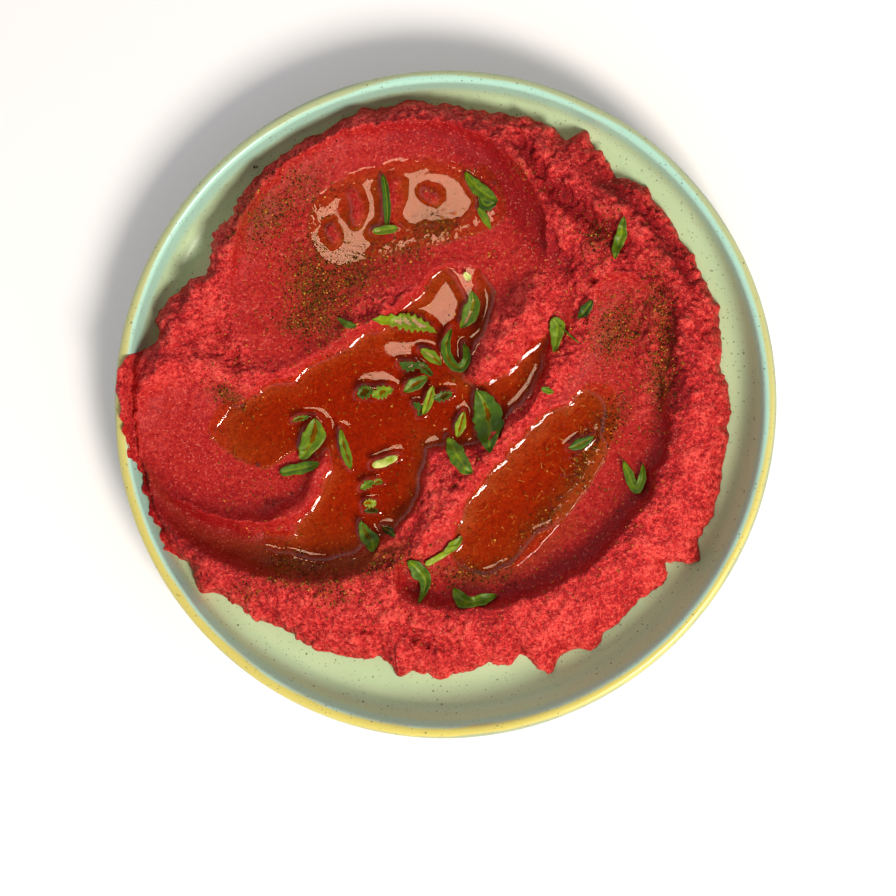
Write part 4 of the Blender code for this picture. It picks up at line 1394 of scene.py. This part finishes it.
LEAVES = [
    Leaf(LeafKind.BASIL, 0.30, ((-20.5, 76, 0.8), (-19.5, 70, 1.3), (-19, 64, 1.3),
                                (-19, 59, 1.0)), curl=0.9),
    Leaf(LeafKind.BASIL, 0.55, ((-24, 57, 0.9), (-20, 57.5, 1.7), (-15.5, 58, 1.1)), curl=0.7),
    Leaf(LeafKind.BASIL, 0.48, ((6.5, 76.5, 0.6), (9.5, 72.5, 1.9), (13, 69.5, 2.4),
                                (17.5, 66.5, 0.8)), curl=0.9),
    Leaf(LeafKind.BASIL, 0.18, ((11.5, 68, 1.0), (13.5, 65.5, 2.0), (17, 66.5, 1.0))),
    Leaf(LeafKind.BASIL, 0.52, ((11, 65, 0.7), (13, 61.5, 1.4), (15.2, 57.5, 0.4))),
    Leaf(LeafKind.BASIL, 0.50, ((59.5, 60.5, 0.6), (58.5, 55, 1.8), (57, 50.5, 1.6),
                                (56.5, 46.5, 0.4)), curl=0.7),
    Leaf(LeafKind.BASIL, 0.97, ((6.3, 43.5, 0.6), (7.2, 42, 1.2), (7.8, 40.8, 0.7))),
    Leaf(LeafKind.BASIL, 0.45, ((8.5, 37.5, 0.5), (9, 33, 2.4), (7.5, 29, 2.6),
                                (4.8, 25, 0.6)), curl=0.8),
    Leaf(LeafKind.PARSLEY, 0.66, ((-23.5, 27.5, 0.7), (-17, 27.5, 2.0), (-12, 27, 2.6),
                                  (-7.5, 26, 1.7), (-3, 23.5, 0.5)), curl=0.6),
    Leaf(LeafKind.PARSLEY, 0.58, ((-14, 30, 0.6), (-13, 27, 1.6), (-10, 25.5, 0.8))),
    Leaf(LeafKind.BASIL, 0.42, ((-35.5, 28.5, 0.4), (-32, 26.3, 1.2), (-28.5, 25.3, 0.5))),
    Leaf(LeafKind.BASIL, 0.38, ((2, 25, 0.6), (0, 20, 1.5), (1, 14.5, 1.6), (4.5, 11.8, 1.4),
                                (7, 15, 1.5), (6, 20, 0.8)), curl=1.2),
    Leaf(LeafKind.BASIL, 0.60, ((-8.5, 18, 0.8), (-5, 16, 1.9), (-1.5, 13, 0.7)), curl=0.7),
    Leaf(LeafKind.PARSLEY, 0.22, ((-15.5, 13.5, 0.8), (-12.5, 12.5, 1.7), (-9, 13, 0.8))),
    Leaf(LeafKind.PARSLEY, 0.28, ((-9.5, 14, 0.7), (-7, 11.5, 1.5), (-4.5, 9.5, 0.6))),
    Leaf(LeafKind.BASIL, 0.46, ((-14, 4, 0.6), (-10.5, 6.5, 2.2), (-6, 9, 0.8)), curl=0.8),
    Leaf(LeafKind.PARSLEY, 0.30, ((-4, 1.5, 0.8), (-1, 2.5, 1.6), (2, 3.5, 0.8))),
    Leaf(LeafKind.PARSLEY, 0.35, ((-29.5, 3, 0.9), (-27, 4, 2.2), (-24.5, 4.8, 1.2))),
    Leaf(LeafKind.PARSLEY, 0.60, ((-24.5, 2.5, 1.0), (-21.5, 4, 2.1), (-17.5, 4.8, 0.7))),
    Leaf(LeafKind.BASIL, 0.68, ((-4.3, 6, 0.6), (-5.6, 1.5, 1.6), (-7.5, -3.5, 0.8)), curl=0.7),
    Leaf(LeafKind.PARSLEY, 0.25, ((-11, 0.5, 0.6), (-8.5, -1.5, 1.3), (-9, -4, 0.6))),
    Leaf(LeafKind.BASIL, 0.36, ((10, 4.5, 0.5), (12, 1.5, 3.0), (13.5, -2.5, 4.5),
                                (14.2, -7, 4.8), (14.8, -11.5, 3.6), (15.5, -16.5, 0.6)),
         curl=1.4, lift=1.2),
    Leaf(LeafKind.BASIL, 0.72, ((6, -2.5, 0.5), (4.8, -7, 1.8), (3.6, -11, 0.7))),
    Leaf(LeafKind.BASIL, 0.48, ((0.5, -11, 0.7), (3.5, -16, 2.7), (7, -21, 2.4),
                                (9.5, -23, 0.8)), curl=0.8),
    Leaf(LeafKind.BASIL, 0.52, ((-43.5, -4.5, 1.0), (-43.5, -9.5, 4.0), (-46, -14.5, 3.0),
                                (-48.5, -18, 1.2)), curl=0.7),
    Leaf(LeafKind.PARSLEY, 0.45, ((-51, -5.5, 0.4), (-48.5, -4.5, 0.9), (-45.5, -4, 0.5))),
    Leaf(LeafKind.BASIL, 0.42, ((-55.5, -22.5, 1.7), (-50, -21.3, 1.9), (-45, -20.3, 1.7),
                                (-41.5, -19.5, 0.8)), curl=0.6),
    Leaf(LeafKind.BASIL, 0.55, ((-35, -8, 0.4), (-34, -13, 1.6), (-32.5, -18, 1.6),
                                (-31.5, -21.5, 0.5)), curl=0.7),
    Leaf(LeafKind.STEM, 0.86, ((-24.5, -20.2, 1.1), (-20.5, -19.3, 1.5), (-16, -17.3, 1.1)),
         curl=0.2),
    Leaf(LeafKind.PARSLEY, 0.50, ((-28.5, -28, 0.6), (-26, -26.5, 1.4), (-24, -25.5, 0.6))),
    Leaf(LeafKind.PARSLEY, 0.55, ((-24, -26.5, 0.5), (-22.5, -25.5, 1.0), (-21, -26, 0.5))),
    Leaf(LeafKind.PARSLEY, 0.80, ((-27.5, -32.8, 0.8), (-25, -32.8, 1.3), (-23, -32.5, 0.8))),
    Leaf(LeafKind.PARSLEY, 0.25, ((-27, -35.3, 0.6), (-25, -35, 1.0), (-22.5, -35.3, 0.6))),
    Leaf(LeafKind.BASIL, 0.42, ((-28.3, -38.5, 0.5), (-27, -42, 2.0), (-24, -46, 2.6),
                                (-23, -48.5, 0.8)), curl=0.7),
    Leaf(LeafKind.BASIL, 0.12, ((-21.5, -40.5, 0.6), (-19, -41.8, 1.4), (-16, -43.5, 0.5)),
         curl=0.0, lift=0.0),
    Leaf(LeafKind.BASIL, 0.42, ((-11.5, -51.5, 0.9), (-9, -54.5, 2.6), (-6.5, -58.5, 2.0),
                                (-7.5, -65.5, 0.4)), curl=0.9),
    Leaf(LeafKind.STEM, 0.72, ((-6.5, -53, 1.1), (-2, -50.5, 1.0), (3.5, -47, 1.0)), curl=0.1),
    Leaf(LeafKind.BASIL, 0.55, ((-0.5, -49.5, 0.5), (2.5, -47, 1.7), (5.5, -44, 0.5))),
    Leaf(LeafKind.BASIL, 0.45, ((2.8, -60.5, 0.7), (5.5, -64, 2.2), (9.5, -65, 1.6),
                                (13.5, -64, 1.7), (17.5, -63, 0.5)), curl=0.9),
    Leaf(LeafKind.BASIL, 0.48, ((58.8, -19, 0.5), (60.5, -23.5, 1.5), (63, -28.5, 1.6),
                                (65, -25, 1.3), (65.3, -20, 0.4)), curl=0.7),
    Leaf(LeafKind.BASIL, 0.30, ((40.5, -15, 0.5), (44.5, -13.5, 1.9), (49, -11, 0.5)),
         curl=0.3),
    Leaf(LeafKind.BASIL, 0.52, ((35.5, 28, 1.2), (37, 25.5, 2.7), (36.8, 21, 1.9),
                                (36, 16.5, 0.5)), curl=0.6),
    Leaf(LeafKind.STEM, 0.45, ((38, 25.5, 0.35), (41, 22.5, 0.3), (44.5, 19.5, 0.25)), curl=0.0),
    Leaf(LeafKind.BASIL, 0.15, ((44, 27.5, 0.5), (46.5, 30.5, 1.7), (49, 33.5, 0.6))),
    Leaf(LeafKind.BASIL, 0.50, ((32, 4.8, 0.5), (34, 4, 1.1), (36, 3.3, 0.5))),
]


@dataclass
class Spice:
    """Ground spice strewn over the patches, and a few grains afloat: one mesh of small
    octahedra."""

    shape: HummusShape
    herbs: Herbs
    seed: int = 41
    grains: int = 11000
    stray: int = 4200
    smallest: float = 0.13
    largest: float = 0.42

    def places(self, random: np.random.Generator) -> tuple[np.ndarray, np.ndarray]:
        """Draw the grains' places: bell-shaped round each patch, in proportion to its area
        and amount, and the strays over the whole hummus."""
        weight = np.array([p.length * p.width * p.amount for p in SPICE_PATCHES])
        chosen = random.choice(len(SPICE_PATCHES), self.grains, p=weight / weight.sum())
        values = np.array([(p.x, p.y, p.length, p.width, math.radians(p.turn))
                           for p in SPICE_PATCHES])[chosen]
        along = values[:, 2] * random.normal(size=self.grains) * 0.75
        across = values[:, 3] * random.normal(size=self.grains) * 0.75
        cosine, sine = np.cos(values[:, 4]), np.sin(values[:, 4])
        x = values[:, 0] + along * cosine - across * sine
        y = values[:, 1] + along * sine + across * cosine
        reach = 80.0 * np.sqrt(random.random(self.stray))
        turn = 2.0 * math.pi * random.random(self.stray)
        spots = self.shape.placed(np.stack([np.concatenate([x, reach * np.cos(turn)]),
                                            np.concatenate([y, reach * np.sin(turn)])], axis=1))
        return spots[:, 0], spots[:, 1]

    def build(self, material: bpy.types.Material) -> bpy.types.Object:
        """Set a turned and stretched octahedron at every place.

        Args:
            material: the spice's finish.

        Returns:
            The piece.
        """
        random = np.random.default_rng(self.seed)
        x, y = self.places(random)
        count = len(x)
        z = self.herbs.ground(x, y) + 0.08
        size = self.smallest + (self.largest - self.smallest) * random.random(count) ** 2.5
        axes, _ = np.linalg.qr(random.normal(size=(count, 3, 3)))
        axes *= (size[:, None] * (0.6 + 0.8 * random.random((count, 3))))[:, :, None]
        middle = np.stack([x, y, z], axis=1)[:, None, :]
        points = np.concatenate([middle + axes, middle - axes], axis=1)
        corners = np.array([(0, 1, 2), (1, 3, 2), (3, 4, 2), (4, 0, 2), (1, 0, 5), (3, 1, 5),
                            (4, 3, 5), (0, 4, 5)])
        flipped = np.linalg.det(axes) < 0.0
        faces = corners[None] + 6 * np.arange(count)[:, None, None]
        faces[flipped] = faces[flipped][:, :, ::-1]
        bright = np.where(np.arange(count) < self.grains, 1.9, 0.8)
        tint = np.repeat(random.random(count) ** bright, 6)
        piece = build_mesh("spice_grains", points.reshape(-1, 3), [faces.reshape(-1, 3)],
                           material, {"tint": tint}, smooth=False)
        settle(piece, "spice")
        return piece


@dataclass
class Bubbles:
    """Froth and single bubbles at the oil's shores: small domes of oil, one mesh."""

    shape: HummusShape
    herbs: Herbs
    seed: int = 51
    rings: int = 5
    sides: int = 10
    clusters: tuple[tuple[float, float, float, int], ...] = (
        (42.0, -22.0, 3.2, 26), (37.0, -33.0, 2.4, 16), (46.0, -10.0, 3.0, 12),
        (26.0, -47.0, 2.2, 14), (33.0, -40.0, 2.0, 8), (5.0, -52.0, 3.5, 16),
        (14.0, -56.0, 3.0, 10), (1.0, 63.0, 3.5, 14), (-4.0, 68.0, 2.0, 6),
        (-8.0, -19.0, 2.0, 6), (-27.0, -27.0, 1.5, 4), (-62.0, -20.0, 1.2, 5),
        (-10.0, 11.0, 4.0, 10), (-46.0, -16.0, 2.0, 6), (45.0, 2.0, 3.0, 8))

    def build(self, material: bpy.types.Material) -> bpy.types.Object:
        """Turn a flattened half circle into a dome at every place.

        Args:
            material: the oil's finish.

        Returns:
            The piece.
        """
        random = np.random.default_rng(self.seed)
        spots = np.array([row for x, y, spread, number in self.clusters
                          for row in [(x, y, spread)] * number])
        count = len(spots)
        spots[:, :2] += spots[:, 2:3] * random.normal(size=(count, 2)) * 0.8
        spots = self.shape.placed(spots)
        radius = 0.28 + 0.7 * random.random(count) ** 2.5
        base = self.herbs.ground(spots[:, 0], spots[:, 1]) - 0.05
        rise = np.linspace(-0.35, 0.5, self.rings + 1)[:-1] * math.pi
        turn = np.linspace(0.0, 2.0 * math.pi, self.sides, endpoint=False)
        ring = np.stack([np.cos(rise)[:, None] * np.cos(turn), np.cos(rise)[:, None] * np.sin(turn),
                         0.8 * np.sin(rise)[:, None] * np.ones(self.sides)], axis=-1)
        shape = np.vstack([ring.reshape(-1, 3), [(0.0, 0.0, 0.8), (0.0, 0.0, -0.72)]])
        middle = np.stack([spots[:, 0], spots[:, 1], base], axis=1)
        points = middle[:, None, :] + radius[:, None, None] * shape[None]
        first = np.arange(self.sides)
        after = (first + 1) % self.sides
        last = (self.rings - 1) * self.sides
        size = len(shape)
        triangles = np.vstack([
            np.stack([last + first, last + after, np.full(self.sides, size - 2)], axis=1),
            np.stack([after, first, np.full(self.sides, size - 1)], axis=1)])
        quads = grid_faces(self.rings, self.sides, wrap=True)
        shift = size * np.arange(count)[:, None, None]
        piece = build_mesh("oil_bubbles", points.reshape(-1, 3),
                           [(quads[None] + shift).reshape(-1, 4),
                            (triangles[None] + shift).reshape(-1, 3)],
                           material, {"depth": np.full(count * size, 0.1)})
        settle(piece, "oil")
        return piece


@dataclass
class Fibres:
    """Fine threads of spice and herb that float in the oil: thin four-sided rods."""

    shape: HummusShape
    herbs: Herbs
    seed: int = 61
    threads: int = 130
    half_width: float = 0.045

    def build(self, material: bpy.types.Material) -> bpy.types.Object:
        """Draw straight threads 1.5 to 4.5 mm long over the right pool and the middle pool.

        Args:
            material: the spice's finish.

        Returns:
            The piece.
        """
        random = np.random.default_rng(self.seed)
        part = random.random(self.threads)
        right = random.random(self.threads) < 0.65
        x = np.where(right, 10.0 + 38.0 * part, -52.0 + 62.0 * part)
        y = np.where(right, -46.0 + 42.0 * part, -4.0 + 12.0 * part)
        x += 5.0 * random.normal(size=self.threads)
        y += 6.0 * random.normal(size=self.threads)
        turn = math.pi * random.random(self.threads)
        half = 0.5 * (0.8 + 2.4 * random.random(self.threads) ** 2)
        z = self.herbs.ground(x, y) + 0.10
        middle = np.stack([x, y, z], axis=1)
        ahead = np.stack([np.cos(turn), np.sin(turn), np.zeros(self.threads)], axis=1)
        beside = np.stack([-np.sin(turn), np.cos(turn), np.zeros(self.threads)], axis=1)
        above = np.array([0.0, 0.0, 1.0])
        points = []
        for end in (-1.0, 1.0):
            centre = middle + end * half[:, None] * ahead
            for side, up in ((-1, -1), (1, -1), (1, 1), (-1, 1)):
                points.append(centre + self.half_width * (side * beside + up * above))
        points = np.stack(points, axis=1)
        corners = np.array([(0, 1, 5, 4), (1, 2, 6, 5), (2, 3, 7, 6), (3, 0, 4, 7),
                            (3, 2, 1, 0), (4, 5, 6, 7)])[:, ::-1]
        faces = corners[None] + 8 * np.arange(self.threads)[:, None, None]
        tint = np.repeat(0.65 + 0.35 * random.random(self.threads), 8)
        piece = build_mesh("spice_threads", points.reshape(-1, 3), [faces.reshape(-1, 4)],
                           material, {"tint": tint})
        settle(piece, "spice")
        return piece


# ---------------------------------------------------------------- stage


@dataclass
class Stage:
    """The pale floor, the soft lights and the camera above the plate."""

    camera_distance: float = 0.6165
    camera_tilt: float = 7.84
    camera_turn: float = -6.4
    aim: tuple[float, float, float] = (0.0031, -0.0146, 0.018)
    lens: float = 75.0

    def build(self) -> None:
        """Make the floor, the world, the lamps and the camera."""
        material, tree = start_material("pale_floor")
        shader = add_node(tree, "BsdfPrincipled", inputs={"Base Color": linear("#f4f4f2"),
                                                          "Roughness": 0.9})
        add_node(tree, "OutputMaterial", inputs={"Surface": shader.outputs["BSDF"]})
        points = np.array([(-2000, -2000, -0.05), (2000, -2000, -0.05), (2000, 2000, -0.05),
                           (-2000, 2000, -0.05)])
        floor = build_mesh("floor", points, [np.array([[0, 1, 2, 3]])], material)

        self.room()
        self.lamp("key_lamp", (0.51, -0.64, 0.80), 0.36, 15.5, "#fff6ea")
        self.lamp("window_lamp", (-0.170, 0.168, 1.0), 0.15, 0.77, "#ffd8b3")
        self.place_camera()
        scene = bpy.context.scene
        scene.view_settings.view_transform = "Standard"
        scene.view_settings.look = "None"

    def room(self) -> None:
        """A room with pale lit walls and a dim ceiling: brightness by the ray's rise."""
        world = bpy.data.worlds.new("soft_room")
        world.use_nodes = True
        tree = world.node_tree
        tree.nodes.clear()
        ray = add_node(tree, "TexCoord").outputs["Generated"]
        rise = add_node(tree, "SeparateXYZ", inputs={"Vector": ray}).outputs["Z"]
        light = add_node(tree, "MapRange", {"interpolation_type": "SMOOTHSTEP"}, {
            "Value": rise, "From Min": 0.93, "From Max": 0.55, "To Min": 0.05,
            "To Max": 0.95}).outputs["Result"]
        back = add_node(tree, "Background", inputs={"Color": linear("#f2f5ff"),
                                                    "Strength": light})
        add_node(tree, "OutputWorld", inputs={"Surface": back.outputs["Background"]})
        bpy.context.scene.world = world

    def lamp(self, name: str, place: tuple[float, float, float], size: float, power: float,
             colour: str) -> None:
        """Add a square area lamp that faces the plate.

        Args:
            name: the lamp's name.
            place: where it hangs, in metres.
            size: the length of its side in metres.
            power: its power in watts.
            colour: its colour.
        """
        data = bpy.data.lights.new(name, "AREA")
        data.shape = "SQUARE"
        data.size = size
        data.energy = power
        data.color = linear(colour)[:3]
        lamp = bpy.data.objects.new(name, data)
        lamp.location = place
        lamp.rotation_euler = Vector(place).to_track_quat("Z", "Y").to_euler()
        bpy.context.scene.collection.objects.link(lamp)

    def place_camera(self) -> None:
        """Put the camera above the plate, tilted to one side, with +Y up in the picture."""
        tilt = math.radians(self.camera_tilt)
        turn = math.radians(self.camera_turn)
        away = Vector((math.sin(tilt) * math.cos(turn), math.sin(tilt) * math.sin(turn),
                       math.cos(tilt)))
        data = bpy.data.cameras.new("camera")
        data.lens = self.lens
        data.sensor_width = 36.0
        camera = bpy.data.objects.new("camera", data)
        camera.location = Vector(self.aim) + away * self.camera_distance
        right = Vector((0.0, 1.0, 0.0)).cross(away).normalized()
        up = away.cross(right)
        camera.rotation_euler = Matrix((right, up, away)).transposed().to_euler()
        bpy.context.scene.collection.objects.link(camera)
        bpy.context.scene.camera = camera


def main() -> None:
    """Build every piece in order."""
    logging.basicConfig(level=logging.INFO, format="%(name)s: %(message)s")
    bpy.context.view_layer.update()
    shape = HummusShape()
    pools = make_pools(shape)
    herbs = Herbs(shape, pools, LEAVES)
    Plate(shape.plate).build(SpeckledGlaze().build())
    Hummus(shape).build(BeetrootHummus().build(), pools)
    oil = ChilliOil().build()
    for pool in pools:
        pool.build(oil, LEAVES)
    herbs.build(FreshHerb().build())
    spice = GroundSpice().build()
    Spice(shape, herbs).build(spice)
    Bubbles(shape, herbs).build(oil)
    Fibres(shape, herbs).build(spice)
    Stage().build()


if __name__ == "__main__":
    main()
